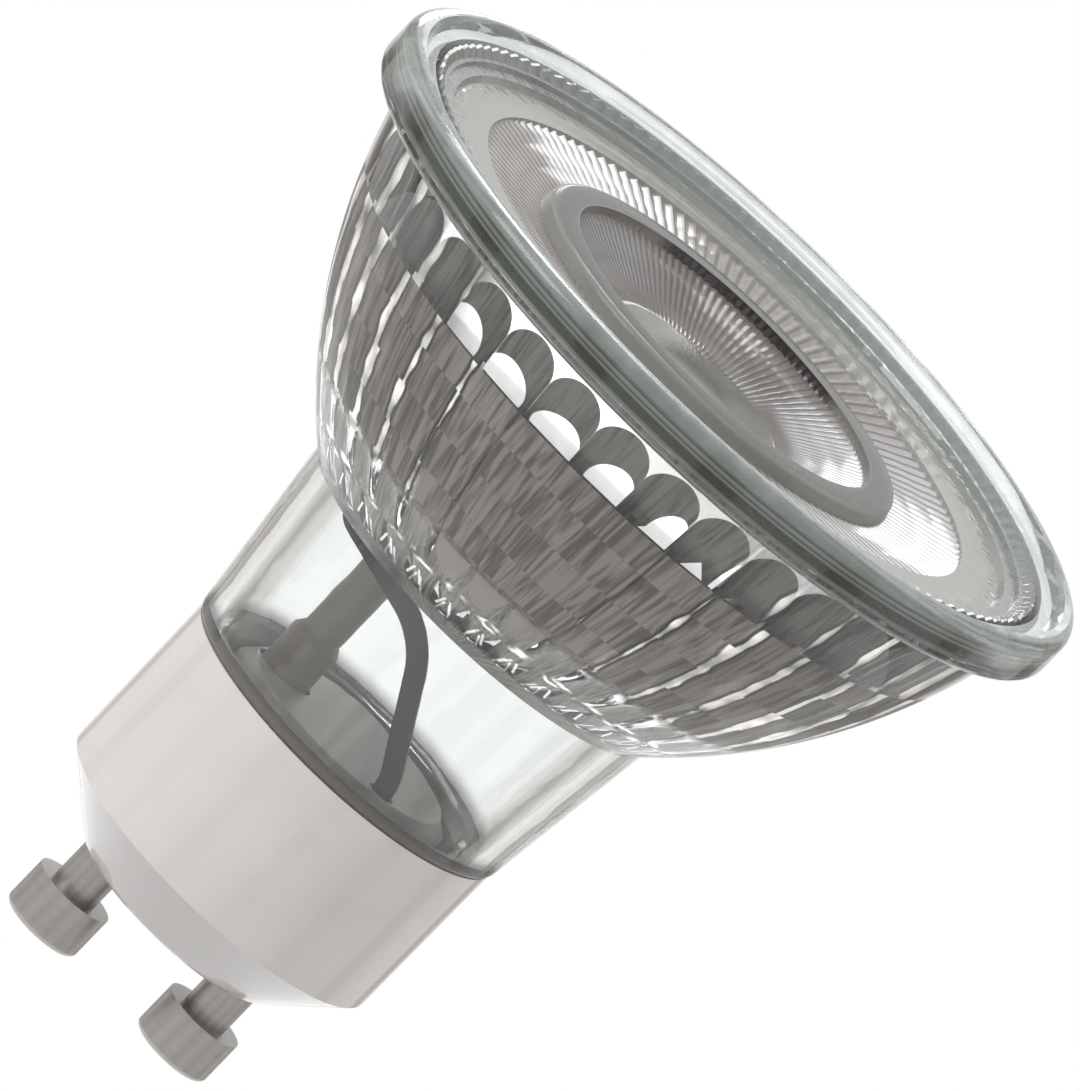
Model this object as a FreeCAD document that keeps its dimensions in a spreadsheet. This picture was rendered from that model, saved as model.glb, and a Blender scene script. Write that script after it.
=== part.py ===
import FreeCAD, Part
import math
import os
import Sketcher

# Reflector spotlight bulb with a twist-lock two-pin base and a see-through pressed-glass body.
# Frame: +Z along the light beam, the pins point down -Z and stand in line along X.
# Origin: midway between the pins, in the flat bottom face of the base cap. Millimetres.

doc = FreeCAD.newDocument("spotlight_bulb")
sheet = doc.addObject("Spreadsheet::Sheet", "Sizes")


class Size:
    """A length that knows its value and the expression that binds it to the sheet."""

    def __init__(self, value, text):
        self.value = value
        self.text = text

    def __add__(self, other):
        other = as_size(other)
        return Size(self.value + other.value, "(%s + %s)" % (self.text, other.text))

    def __sub__(self, other):
        other = as_size(other)
        return Size(self.value - other.value, "(%s - %s)" % (self.text, other.text))

    def __mul__(self, factor):
        return Size(self.value * factor, "(%s * %r)" % (self.text, factor))

    def __truediv__(self, divisor):
        return Size(self.value / divisor, "(%s / %r)" % (self.text, divisor))

    def __neg__(self):
        return Size(-self.value, "(0 - %s)" % self.text)


def as_size(thing):
    return thing if isinstance(thing, Size) else Size(float(thing), repr(float(thing)))


def size(name, number, note):
    """Writes one driving dimension into the sheet and returns it."""
    row = size.next_row
    size.next_row += 1
    sheet.set("A%d" % row, note)
    sheet.set("B%d" % row, repr(number))
    sheet.setAlias("B%d" % row, name)
    return Size(float(number), "Sizes." + name)


size.next_row = 1

# Contact pins
pin_spacing = size("pin_spacing", 10.0, "distance between the two pin axes")
pin_head_radius = size("pin_head_radius", 2.5, "radius of a pin's head")
pin_head_height = size("pin_head_height", 2.9, "height of a pin's head")
pin_head_edge = size("pin_head_edge", 0.3, "rounding of a head's lower edge")
pin_neck_radius = size("pin_neck_radius", 1.45, "radius of a pin's neck under the cap")
pin_neck_height = size("pin_neck_height", 2.96, "free height of a pin's neck")
pin_shank_radius = size("pin_shank_radius", 1.2, "radius of the shank inside the cap's floor")
pin_swage_radius = size("pin_swage_radius", 1.75, "radius of the swaged collar inside the cap")
pin_swage_height = size("pin_swage_height", 0.4, "height of the swaged collar")
pin_tail_radius = size("pin_tail_radius", 0.7, "radius of the solder tail")
pin_tail_rise = size("pin_tail_rise", 1.0, "how far a tail stands above the driver board")
hole_clearance = size("hole_clearance", 0.05, "radial clearance of a piece in its hole")

# Base cap
cap_base_radius = size("cap_base_radius", 6.85, "radius of the cap's flat bottom face")
cap_shoulder_radius = size("cap_shoulder_radius", 10.85, "outer radius where the chamfer ends")
cap_shoulder_height = size("cap_shoulder_height", 3.8, "height where the chamfer ends")
cap_top_radius = size("cap_top_radius", 10.95, "outer radius at the cap's top")
cap_height = size("cap_height", 14.1, "height of the cap")
cap_wall = size("cap_wall", 1.0, "wall of the cap's skirt")
cap_floor = size("cap_floor", 1.8, "thickness of the cap's floor")
cap_well_radius = size("cap_well_radius", 7.4, "inner radius above the cap's floor")
cap_seat_radius = size("cap_seat_radius", 8.5, "inner radius of the driver board's seat")
cap_seat_height = size("cap_seat_height", 4.9, "height of the driver board's seat")
cap_edge = size("cap_edge", 0.3, "height of the rounding at the cap's bottom edge")
cap_edge_radius = size("cap_edge_radius", 0.9, "radius of that rounding")
cement_inset = size("cement_inset", 0.3, "how far the cement stays below the cap's top")
cement_foot_rise = size("cement_foot_rise", 0.6, "how far it stays above the stub's foot")

# Glass body
stub_radius = size("stub_radius", 9.6, "outer radius of the glass stub sunk in the cap")
stub_depth = size("stub_depth", 5.4, "depth of the stub below the cap's top")
stub_wall = size("stub_wall", 1.2, "wall of the stub")
neck_radius = size("neck_radius", 11.1, "outer radius of the glass neck at the cap")
neck_bead = size("neck_bead", 0.45, "rounding of the neck's lower edge")
neck_wall = size("neck_wall", 1.3, "wall of the glass neck")
neck_throat_rise = size("neck_throat_rise", 0.75, "height of the thick glass at the neck's foot")
neck_top_radius = size("neck_top_radius", 12.45, "outer radius where the neck meets the cup")
neck_top_height = size("neck_top_height", 25.4, "height where the neck meets the cup")
cup_floor_rise = size("cup_floor_rise", 1.2, "height of the inner ledge above that junction")
cup_bulge_radius = size("cup_bulge_radius", 35.3, "radius of the cup's outward bulge")
cup_height = size("cup_height", 18.6, "height of the cup from the neck to the rim's underside")
cup_wall = size("cup_wall", 1.7, "radial wall of the cup at a facet's corner")
cup_ledge_width = size("cup_ledge_width", 0.95, "width of the inner ledge at the cup's foot")
rim_radius = size("rim_radius", 25.0, "outer radius of the rim")
rim_overhang = size("rim_overhang", 2.0, "how far the rim stands out from the cup")
rim_edge = size("rim_edge", 0.55, "rounding of the rim's lower edge")
rim_side_rise = size("rim_side_rise", 2.1, "height of the rim's side")
rim_crest_rise = size("rim_crest_rise", 0.8, "height of the rounding above the side")
rim_crest_inset = size("rim_crest_inset", 0.75, "how far the crest lies inside the rim's side")
rim_crest_width = size("rim_crest_width", 0.35, "width of the rim's flat crest")
rim_lip_slope = size("rim_lip_slope", 0.45, "radial width of the slope from crest to lip")
rim_lip_drop = size("rim_lip_drop", 0.6, "how far the lip lies below the crest")
rim_lip_width = size("rim_lip_width", 0.75, "width of the lip")
ledge_rise = size("ledge_rise", 0.3, "height of the lens's ledge above the rim's underside")
ledge_width = size("ledge_width", 1.4, "width of the ledge that carries the lens")
facet_columns = 36
facet_rise_a = size("facet_rise_a", 1.6, "height of the first row of facets")
facet_rise_b = size("facet_rise_b", 2.4, "height of the second row")
facet_rise_c = size("facet_rise_c", 1.9, "height of the third row")
facet_rise_d = size("facet_rise_d", 2.4, "height of the fourth row")
facet_rise_e = size("facet_rise_e", 2.5, "height of the fifth row")
facet_rise_f = size("facet_rise_f", 2.4, "height of the sixth row, up to the spreader's edge")

# Heat spreader and light source
spreader_gap = size("spreader_gap", 0.55, "gap between the spreader and the glass")
spreader_wall = size("spreader_wall", 0.8, "wall of the heat spreader")
spreader_floor = size("spreader_floor", 1.0, "floor of the heat spreader")
spreader_foot_gap = size("spreader_foot_gap", 0.4, "gap between the spreader's foot and the glass")
pad_inset = size("pad_inset", 0.5, "how far the thermal pad stays inside the board's edge")
pad_thickness = size("pad_thickness", 0.2, "thickness of the thermal pad")
led_board_gap = size("led_board_gap", 0.5, "gap between the light source's board and the spreader")
led_board_thickness = size("led_board_thickness", 1.2, "thickness of that board")
led_package_side = size("led_package_side", 6.6, "side of the light source's carrier")
led_package_height = size("led_package_height", 0.7, "height of the carrier")
phosphor_radius = size("phosphor_radius", 2.6, "radius of the phosphor dome")
phosphor_height = size("phosphor_height", 0.8, "height of the phosphor dome")
screw_inset = size("screw_inset", 2.1, "distance of the board screws from the board's edge")
screw_angles = (30, 150, 270)
screw_shank_radius = size("screw_shank_radius", 0.9, "radius of a board screw's shank")
screw_head_radius = size("screw_head_radius", 1.6, "radius of a board screw's head")
screw_head_height = size("screw_head_height", 0.9, "height of a board screw's head")
screw_slot_width = size("screw_slot_width", 0.4, "width of a screw head's slot")
screw_slot_depth = size("screw_slot_depth", 0.4, "depth of a screw head's slot")
chip_length = size("chip_length", 2.0, "length of a chip resistor")
chip_width = size("chip_width", 1.25, "width of a chip resistor")
chip_height = size("chip_height", 0.5, "height of a chip resistor")
chip_inset = size("chip_inset", 4.2, "distance of the chip resistors from the board's edge")
chip_angles = (60, 120, 240, 330)

# Front lens
seal_thickness = size("seal_thickness", 0.2, "thickness of the seal under the lens")
lens_clearance = size("lens_clearance", 0.3, "gap between the lens and the glass around it")
lens_lip_height = size("lens_lip_height", 1.85, "height of the lens's outer lip")
lens_lip_width = size("lens_lip_width", 0.5, "width of the lens's outer lip")
lens_face_drop = size("lens_face_drop", 1.2, "how far the face lies below the lip")
lens_face_slope = size("lens_face_slope", 1.1, "radial width of the step between them")
lens_plug_depth = size("lens_plug_depth", 1.5, "depth of the plug below the lens's lip")
lens_plug_inset = size("lens_plug_inset", 0.9, "how far the plug stays inside the ledge")
ring_inset = size("ring_inset", 4.7, "distance of the ribbed annulus from the lens's edge")
ring_width = size("ring_width", 4.8, "width of the ribbed annulus")
ring_depth = size("ring_depth", 0.85, "depth of the annulus at its inner edge")
well_inset = size("well_inset", 2.0, "width of the plain ring between annulus and well")
well_step = size("well_step", 0.5, "height of the upright step at the well's edge")
well_slope = size("well_slope", 4.9, "radial width of the well's ribbed slope")
well_depth = size("well_depth", 2.5, "depth of the central well")
well_wall = size("well_wall", 1.0, "thickness of the lens under the well's floor")

# Driver in the cap
board_radius = size("board_radius", 9.6, "radius of the driver board")
board_thickness = size("board_thickness", 1.0, "thickness of the driver board")
cover_radius = size("cover_radius", 7.7, "radius of the insulating cover")
cover_top_height = size("cover_top_height", 14.7, "height of the cover's top")
cover_wall = size("cover_wall", 0.5, "wall of the cover")
cover_edge = size("cover_edge", 0.8, "chamfer around the cover's top")
solder_radius = size("solder_radius", 1.3, "radius of a solder joint on the driver board")
solder_height = size("solder_height", 1.35, "height of such a joint")
solder_tip_radius = size("solder_tip_radius", 0.8, "radius of the joint's flat tip")
lead_radius = size("lead_radius", 1.25, "radius of the insulated lead")
core_radius = size("core_radius", 0.5, "radius of the lead's bare core")
sleeve_radius = size("sleeve_radius", 1.65, "outer radius of the shrink sleeve")
sleeve_rise = size("sleeve_rise", 3.0, "how far the sleeve stands above the cover")
sleeve_foot_rise = size("sleeve_foot_rise", 0.6, "height of the sleeve's foot over the joint")
sleeve_taper = size("sleeve_taper", 0.5, "height of the taper at the sleeve's top")
lead_hole_clearance = size("lead_hole_clearance", 0.2, "clearance of a lead in its hole")
strip_width = size("strip_width", 1.2, "width of the flat return lead")
strip_thickness = size("strip_thickness", 0.35, "thickness of the flat return lead")
strip_edge_inset = size("strip_edge_inset", 2.2, "how far inside the board's edge the strip rises")
strip_front_offset = size("strip_front_offset", 3.4, "how far before the axis it rises")
strip_knee_drop = size("strip_knee_drop", 2.1, "how far the upper bend lies below the cup's floor")
strip_knee_bend = size("strip_knee_bend", 0.8, "radius of the strip's upper bend")
strip_crest_bend = size("strip_crest_bend", 5.0, "radius of the strip's second bend")
strip_foot_bend = size("strip_foot_bend", 3.5, "radius of the strip's third bend")
strip_crest_offset = size("strip_crest_offset", -0.8, "X of the strip's second bend")
strip_crest_drop = size("strip_crest_drop", 1.9, "how far the second bend lies below the upper one")
strip_foot_offset = size("strip_foot_offset", 3.4, "X of the strip's third bend and of its foot")
strip_foot_front = size("strip_foot_front", 4.9, "how far before the axis the strip's foot stands")
strip_foot_rise = size("strip_foot_rise", 0.7, "height of the third bend above the cover")
strip_joint_radius = size("strip_joint_radius", 0.7, "radius of the solder joint under the strip's foot")
strip_joint_height = size("strip_joint_height", 0.6, "height of that joint")
top_solder_radius = size("top_solder_radius", 1.0, "radius of a joint on the upper board")
top_solder_height = size("top_solder_height", 0.6, "height of a joint on the upper board")
capacitor_radius = size("capacitor_radius", 3.15, "radius of the bulk capacitor")
capacitor_headroom = size("capacitor_headroom", 1.3, "gap between the bulk capacitor and the cover")
capacitor_groove = size("capacitor_groove", 0.3, "depth of the capacitor's crimp")
capacitor_offset = size("capacitor_offset", 3.6, "how far behind the axis it stands")
inductor_radius = size("inductor_radius", 2.3, "radius of the inductor's flanges")
inductor_headroom = size("inductor_headroom", 3.3, "gap between the inductor and the cover")
inductor_flange = size("inductor_flange", 0.7, "thickness of the inductor's flanges")
inductor_hub_radius = size("inductor_hub_radius", 1.0, "radius of the inductor's hub")
winding_inset = size("winding_inset", 0.25, "how far the winding stays inside the flanges")
inductor_x = size("inductor_x", -1.7, "X of the inductor")
inductor_y = size("inductor_y", -4.2, "Y of the inductor")
resistor_radius = size("resistor_radius", 1.0, "radius of the fusible resistor")
resistor_headroom = size("resistor_headroom", 3.8, "gap between the fusible resistor and the cover")
resistor_x = size("resistor_x", 1.5, "X of the fusible resistor")
resistor_y = size("resistor_y", -5.6, "Y of the fusible resistor")
rectifier_length = size("rectifier_length", 3.6, "length of the bridge rectifier, along Y")
rectifier_width = size("rectifier_width", 2.6, "width of the bridge rectifier")
rectifier_height = size("rectifier_height", 1.5, "height of the bridge rectifier")
rectifier_x = size("rectifier_x", 1.9, "X of the bridge rectifier")
rectifier_y = size("rectifier_y", -1.5, "Y of the bridge rectifier")
driver_chip_length = size("driver_chip_length", 4.9, "length of the driver chip, along Y")
driver_chip_width = size("driver_chip_width", 3.9, "width of the driver chip")
driver_chip_height = size("driver_chip_height", 1.4, "height of the driver chip")

doc.recompute()

# Heights and radii that follow from the driving dimensions
stub_foot_height = cap_height - stub_depth
stub_inner_radius = stub_radius - stub_wall
skirt_inner_radius = cap_top_radius - cap_wall
neck_inner_radius = neck_radius - neck_wall
neck_inner_top_radius = neck_top_radius - neck_wall
cup_floor_height = neck_top_height + cup_floor_rise
cup_top_radius = rim_radius - rim_overhang
rim_under_height = neck_top_height + cup_height
rim_side_height = rim_under_height + rim_side_rise
rim_crest_radius = rim_radius - rim_crest_inset
rim_crest_height = rim_side_height + rim_crest_rise
rim_lip_radius = rim_crest_radius - rim_crest_width - rim_lip_slope
rim_lip_height = rim_crest_height - rim_lip_drop
recess_radius = rim_lip_radius - rim_lip_width
ledge_height = rim_under_height + ledge_rise
ledge_radius = recess_radius - ledge_width
facet_floor_radius = neck_inner_top_radius + cup_ledge_width
facet_heights = [cup_floor_height + facet_rise_a]
for facet_rise in (facet_rise_b, facet_rise_c, facet_rise_d, facet_rise_e, facet_rise_f):
    facet_heights.append(facet_heights[-1] + facet_rise)
spreader_foot_radius = facet_floor_radius - spreader_foot_gap
spreader_floor_height = cup_floor_height + spreader_floor
led_board_radius = spreader_foot_radius - spreader_wall - led_board_gap
pad_radius = led_board_radius - pad_inset
screw_circle_radius = led_board_radius - screw_inset
chip_circle_radius = led_board_radius - chip_inset
pad_top_height = spreader_floor_height + pad_thickness
led_board_top_height = pad_top_height + led_board_thickness
package_top_height = led_board_top_height + led_package_height
seal_top_height = ledge_height + seal_thickness
lens_lip_top = seal_top_height + lens_lip_height
lens_face_height = lens_lip_top - lens_face_drop
lens_plug_height = seal_top_height - lens_plug_depth
lens_radius = recess_radius - lens_clearance
plug_radius = ledge_radius - lens_plug_inset
ring_outer_radius = lens_radius - ring_inset
ring_inner_radius = ring_outer_radius - ring_width
well_radius = ring_inner_radius - well_inset
well_floor_radius = well_radius - well_slope
well_floor_height = lens_face_height - well_depth
board_top_height = cap_seat_height + board_thickness
tail_top_height = board_top_height + pin_tail_rise
solder_top_height = board_top_height + solder_height
pin_x = pin_spacing / 2
sleeve_hole_radius = sleeve_radius + lead_hole_clearance
lead_hole_radius = lead_radius + lead_hole_clearance
sleeve_top_height = cover_top_height + sleeve_rise
cover_ceiling_height = cover_top_height - cover_wall
strip_top_offset = led_board_radius - strip_edge_inset
strip_knee_height = cup_floor_height - strip_knee_drop
strip_crest_height = strip_knee_height - strip_crest_drop
strip_foot_height = cover_top_height + strip_foot_rise
strip_joint_top = board_top_height + strip_joint_height
strip_hole_radius = strip_width / 2 + lead_hole_clearance
capacitor_height = cover_ceiling_height - board_top_height - capacitor_headroom
inductor_height = cover_ceiling_height - board_top_height - inductor_headroom
resistor_height = cover_ceiling_height - board_top_height - resistor_headroom

nodes = []


def kept(thing, label):
    """Names a finished piece and puts it on the list of files to write."""
    thing.Label = label
    nodes.append(thing)
    return thing


def origin_plane(body, role):
    return [f for f in body.Origin.OriginFeatures if f.Role == role][0]


def flat_sketch(body, name, role):
    sketch = body.newObject("Sketcher::SketchObject", name)
    sketch.AttachmentSupport = [(origin_plane(body, role), "")]
    sketch.MapMode = "FlatFace"
    return sketch


def pin_down(sketch, geometry, end, across, up):
    """Ties one end of a line or arc to a point whose two coordinates are sizes."""
    for kind, length in (("DistanceX", across), ("DistanceY", up)):
        length = as_size(length)
        rule = Sketcher.Constraint(kind, -1, 1, geometry, end, length.value)
        number = sketch.addConstraint(rule)
        sketch.setExpression("Constraints[%d]" % number, length.text)


def arc_between(start, finish, radius):
    """The short arc from start to finish; a positive radius bulges to the right of the way."""
    chord = finish - start
    middle = (start + finish) * 0.5
    side = FreeCAD.Vector(-chord.y, chord.x, 0).normalize()
    reach = math.sqrt(radius * radius - chord.Length * chord.Length / 4)
    centre = middle + side * (reach if radius > 0 else -reach)
    first, last = (start, finish) if radius > 0 else (finish, start)
    angles = [math.atan2(p.y - centre.y, p.x - centre.x) for p in (first, last)]
    circle = Part.Circle(centre, FreeCAD.Vector(0, 0, 1), abs(radius))
    return Part.ArcOfCircle(circle, angles[0], angles[1])


def outline(sketch, corners):
    """A closed outline. A corner is (across, up), or (across, up, radius) where an arc leaves it."""
    places = [FreeCAD.Vector(as_size(c[0]).value, as_size(c[1]).value, 0) for c in corners]
    for i, corner in enumerate(corners):
        follower = (i + 1) % len(corners)
        if len(corner) == 2:
            edge = Part.LineSegment(places[i], places[follower])
            ends = (1, 2)
        else:
            radius = as_size(corner[2])
            edge = arc_between(places[i], places[follower], radius.value)
            ends = (1, 2) if radius.value > 0 else (2, 1)
        number = sketch.addGeometry(edge, False)
        pin_down(sketch, number, ends[0], corner[0], corner[1])
        pin_down(sketch, number, ends[1], corners[follower][0], corners[follower][1])
        if len(corner) == 3:
            positive = radius if radius.value > 0 else -radius
            rule = sketch.addConstraint(Sketcher.Constraint("Radius", number, positive.value))
            sketch.setExpression("Constraints[%d]" % rule, positive.text)


def turned(name, corners):
    """A body of revolution about Z from a closed outline of (radius, height) corners."""
    body = doc.addObject("PartDesign::Body", name)
    section = flat_sketch(body, name + "_section", "XZ_Plane")
    outline(section, corners)
    turn = body.newObject("PartDesign::Revolution", name + "_turn")
    turn.Profile = section
    turn.ReferenceAxis = (section, ["V_Axis"])
    turn.Angle = 360
    section.Visibility = False
    doc.recompute()
    return body


def drilled(body, holes):
    """Round holes right through a body, each (x, y, radius)."""
    sketch = flat_sketch(body, body.Name + "_holes", "XY_Plane")
    for x, y, radius in holes:
        centre = FreeCAD.Vector(as_size(x).value, as_size(y).value, 0)
        circle = Part.Circle(centre, FreeCAD.Vector(0, 0, 1), radius.value)
        number = sketch.addGeometry(circle, False)
        pin_down(sketch, number, 3, x, y)
        rule = sketch.addConstraint(Sketcher.Constraint("Radius", number, radius.value))
        sketch.setExpression("Constraints[%d]" % rule, radius.text)
    pocket = body.newObject("PartDesign::Pocket", body.Name + "_drilling")
    pocket.Profile = sketch
    pocket.Type = "ThroughAll"
    pocket.SideType = "Symmetric"
    sketch.Visibility = False
    doc.recompute()
    return body


def placed(thing, x, y, z):
    for letter, length in zip("xyz", (x, y, z)):
        thing.setExpression("Placement.Base." + letter, as_size(length).text)
    return thing


def block(name, length, width, height, x, y, z):
    """A box centred on x and y that stands on the height z."""
    box = doc.addObject("Part::Box", name)
    for side, length_of_side in (("Length", length), ("Width", width), ("Height", height)):
        box.setExpression(side, as_size(length_of_side).text)
    return placed(box, as_size(x) - length / 2, as_size(y) - width / 2, z)


def rod(name, radius, height, x, y, z):
    """A cylinder that stands on the height z."""
    cylinder = doc.addObject("Part::Cylinder", name)
    cylinder.setExpression("Radius", as_size(radius).text)
    cylinder.setExpression("Height", as_size(height).text)
    return placed(cylinder, x, y, z)


def minus(name, base, tools):
    """The base piece with every tool cut out of it."""
    for number, tool in enumerate(tools):
        cut = doc.addObject("Part::Cut", "%s_cut_%d" % (name, number))
        cut.Base = base
        cut.Tool = tool
        base = cut
    return base


def together(name, pieces):
    group = doc.addObject("Part::MultiFuse", name)
    group.Shapes = pieces
    return group


# Contact pins: turned, each with a broad head, a neck, a shank swaged inside the cap and a tail
def contact_pin(label, x):
    head_top = pin_head_height
    floor_bottom = head_top + pin_neck_height
    swage_bottom = floor_bottom + cap_floor
    swage_top = swage_bottom + pin_swage_height
    tail_top = floor_bottom + tail_top_height
    corners = [
        (0, 0),
        (pin_head_radius - pin_head_edge, 0, pin_head_edge),
        (pin_head_radius, pin_head_edge),
        (pin_head_radius, head_top),
        (pin_neck_radius, head_top),
        (pin_neck_radius, floor_bottom),
        (pin_shank_radius, floor_bottom),
        (pin_shank_radius, swage_bottom),
        (pin_swage_radius, swage_bottom),
        (pin_swage_radius, swage_top),
        (pin_tail_radius, swage_top),
        (pin_tail_radius, tail_top),
        (0, tail_top),
    ]
    pin = turned(label, corners)
    placed(pin, x, 0, -(pin_head_height + pin_neck_height))
    return kept(pin, label)


contact_pin("contact_pin_live", -pin_x)
contact_pin("contact_pin_neutral", pin_x)

# Base cap: moulded cup with a chamfered foot, a seat for the driver board and two pin holes
cap = turned("base_cap", [
    (0, 0),
    (cap_base_radius - cap_edge, 0, cap_edge_radius),
    (cap_base_radius + cap_edge, cap_edge),
    (cap_shoulder_radius, cap_shoulder_height),
    (cap_top_radius, cap_height),
    (skirt_inner_radius, cap_height),
    (skirt_inner_radius, cap_seat_height),
    (cap_seat_radius, cap_seat_height),
    (cap_well_radius, cap_floor),
    (0, cap_floor),
])
shank_hole = pin_shank_radius + hole_clearance
kept(drilled(cap, [(-pin_x, 0, shank_hole), (pin_x, 0, shank_hole)]), "base_cap")

# Cement that holds the glass stub in the cap's skirt
kept(turned("neck_cement", [
    (stub_radius, stub_foot_height + cement_foot_rise),
    (skirt_inner_radius, stub_foot_height + cement_foot_rise),
    (skirt_inner_radius, cap_height - cement_inset),
    (stub_radius, cap_height - cement_inset),
]), "neck_cement")


# Glass body: one pressing with stub, neck, cup and rim; the cup is faceted on the inside
def cup_outer_radius(height):
    """Outer radius of the cup at a height, from the arc between the neck and the rim."""
    low = FreeCAD.Vector(neck_top_radius.value, neck_top_height.value, 0)
    high = FreeCAD.Vector(cup_top_radius.value, rim_under_height.value, 0)
    arc = arc_between(low, high, cup_bulge_radius.value)
    return arc.Center.x + math.sqrt(arc.Radius ** 2 - (height - arc.Center.y) ** 2)


def facet_rows():
    """The corners' radius and height on each edge between two rows of facets."""
    rows = [(facet_floor_radius.value, cup_floor_height.value)]
    for height in facet_heights:
        rows.append((cup_outer_radius(height.value) - cup_wall.value, height.value))
    rows.append((ledge_radius.value, ledge_height.value))
    return rows


def facet_cavity():
    """The faceted hollow as a closed solid of flat faces."""
    rings = []
    for radius, height in facet_rows():
        ring = []
        for column in range(facet_columns):
            angle = 2 * math.pi * (column + 0.5) / facet_columns
            ring.append(FreeCAD.Vector(radius * math.cos(angle), radius * math.sin(angle), height))
        rings.append(ring)
    faces = []
    for lower, upper in zip(rings, rings[1:]):
        for column in range(facet_columns):
            beside = (column + 1) % facet_columns
            corners = [lower[column], lower[beside], upper[beside], upper[column], lower[column]]
            faces.append(Part.Face(Part.makePolygon(corners)))
    for ring in (rings[0], rings[-1]):
        faces.append(Part.Face(Part.makePolygon(ring + ring[:1])))
    return Part.Solid(Part.Shell(faces))


glass_blank = turned("glass_blank", [
    (0, cup_floor_height),
    (neck_inner_top_radius, cup_floor_height),
    (neck_inner_radius, cap_height + neck_throat_rise),
    (stub_inner_radius, cap_height),
    (stub_inner_radius, stub_foot_height),
    (stub_radius, stub_foot_height),
    (stub_radius, cap_height),
    (neck_radius - neck_bead, cap_height, neck_bead),
    (neck_radius, cap_height + neck_bead),
    (neck_top_radius, neck_top_height, cup_bulge_radius),
    (cup_top_radius, rim_under_height),
    (rim_radius - rim_edge, rim_under_height, rim_edge),
    (rim_radius, rim_under_height + rim_edge),
    (rim_radius, rim_side_height, rim_crest_rise),
    (rim_crest_radius, rim_crest_height),
    (rim_crest_radius - rim_crest_width, rim_crest_height),
    (rim_lip_radius, rim_lip_height),
    (recess_radius, rim_lip_height),
    (recess_radius, ledge_height),
    (0, ledge_height),
])
cavity = doc.addObject("Part::Feature", "glass_facets")
cavity.Shape = facet_cavity()
kept(minus("glass_body", glass_blank, [cavity]), "glass_body")


# Heat spreader: a spun cup that follows the glass and carries the light source
def spreader_corners():
    outer = [(spreader_foot_radius, cup_floor_height)]
    for height in facet_heights:
        skin = cup_outer_radius(height.value) - cup_wall.value
        outer.append((Size(skin, repr(skin)) - spreader_gap, height))
    inner = [(radius - spreader_wall, height) for radius, height in outer[1:]]
    return outer, inner


def screw_places():
    places = []
    for degrees in screw_angles:
        angle = math.radians(degrees)
        places.append((screw_circle_radius * math.cos(angle), screw_circle_radius * math.sin(angle)))
    return places


spreader_outer, spreader_inner = spreader_corners()
spreader = turned("heat_spreader_blank", [
    (0, cup_floor_height),
    *spreader_outer,
    *reversed(spreader_inner),
    (spreader_foot_radius - spreader_wall, spreader_floor_height),
    (0, spreader_floor_height),
])
screw_hole = screw_shank_radius + hole_clearance
carrier_holes = [(-pin_x, 0, lead_hole_radius)]
carrier_holes += [(x, y, screw_hole) for x, y in screw_places()]
drilled(spreader, carrier_holes)


strip_run = strip_foot_offset + strip_top_offset
strip_advance = strip_front_offset - strip_foot_front
strip_turn = math.atan2(strip_advance.value, strip_run.value)


def turned_slot(name, low, high):
    """The slot turned into the strip's upright plane, where the strip rises."""
    slot = doc.addObject("Part::Feature", name)
    length = strip_width.value + lead_hole_clearance.value * 2
    width = strip_thickness.value + lead_hole_clearance.value * 2
    corner = FreeCAD.Vector(-length / 2, -width / 2, 0)
    slot.Shape = Part.makeBox(length, width, high.value - low.value, corner)
    spot = FreeCAD.Vector(-strip_top_offset.value, -strip_front_offset.value, low.value)
    turn = FreeCAD.Rotation(FreeCAD.Vector(0, 0, 1), math.degrees(strip_turn))
    slot.Placement = FreeCAD.Placement(spot, turn)
    return slot


kept(minus("heat_spreader", spreader, [
    turned_slot("spreader_slot", cup_floor_height - spreader_floor, spreader_floor_height + spreader_floor),
]), "heat_spreader")

# Thermal pad and the light source's board, with holes for the leads and the screws
pad = turned("thermal_pad_blank", [
    (0, spreader_floor_height),
    (pad_radius, spreader_floor_height),
    (pad_radius, pad_top_height),
    (0, pad_top_height),
])
drilled(pad, carrier_holes)
kept(minus("thermal_pad", pad, [
    turned_slot("pad_slot", spreader_floor_height - pad_thickness, pad_top_height + pad_thickness),
]), "thermal_pad")

led_board = turned("led_board_blank", [
    (0, pad_top_height),
    (led_board_radius, pad_top_height),
    (led_board_radius, led_board_top_height),
    (0, led_board_top_height),
])
board_holes = [(-pin_x, 0, core_radius + hole_clearance)] + carrier_holes[1:]
drilled(led_board, board_holes)
kept(minus("led_board", led_board, [
    turned_slot("board_slot", pad_top_height - pad_thickness, led_board_top_height + pad_thickness),
]), "led_board")

# Light source: ceramic carrier with a phosphor dome
kept(block(
    "led_package", led_package_side, led_package_side, led_package_height, 0, 0, led_board_top_height
), "led_package")
kept(turned("led_phosphor", [
    (0, package_top_height),
    (phosphor_radius, package_top_height),
    (phosphor_radius - phosphor_height / 2, package_top_height + phosphor_height),
    (0, package_top_height + phosphor_height),
]), "led_phosphor")

# Board screws: slotted pan heads, shanks down through the spreader's floor
screws = []
for number, (x, y) in enumerate(screw_places()):
    shank = rod(
        "screw_shank_%d" % number,
        screw_shank_radius,
        led_board_top_height - cup_floor_height,
        x,
        y,
        cup_floor_height,
    )
    head = rod("screw_head_%d" % number, screw_head_radius, screw_head_height, x, y, led_board_top_height)
    whole = together("screw_%d" % number, [shank, head])
    slot = block(
        "screw_slot_%d" % number,
        screw_head_radius * 2,
        screw_slot_width,
        screw_slot_depth,
        x,
        y,
        led_board_top_height + screw_head_height - screw_slot_depth,
    )
    screws.append(minus("screw_with_slot_%d" % number, whole, [slot]))
group = doc.addObject("Part::Compound", "board_screws")
group.Links = screws
kept(group, "board_screws")

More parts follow.
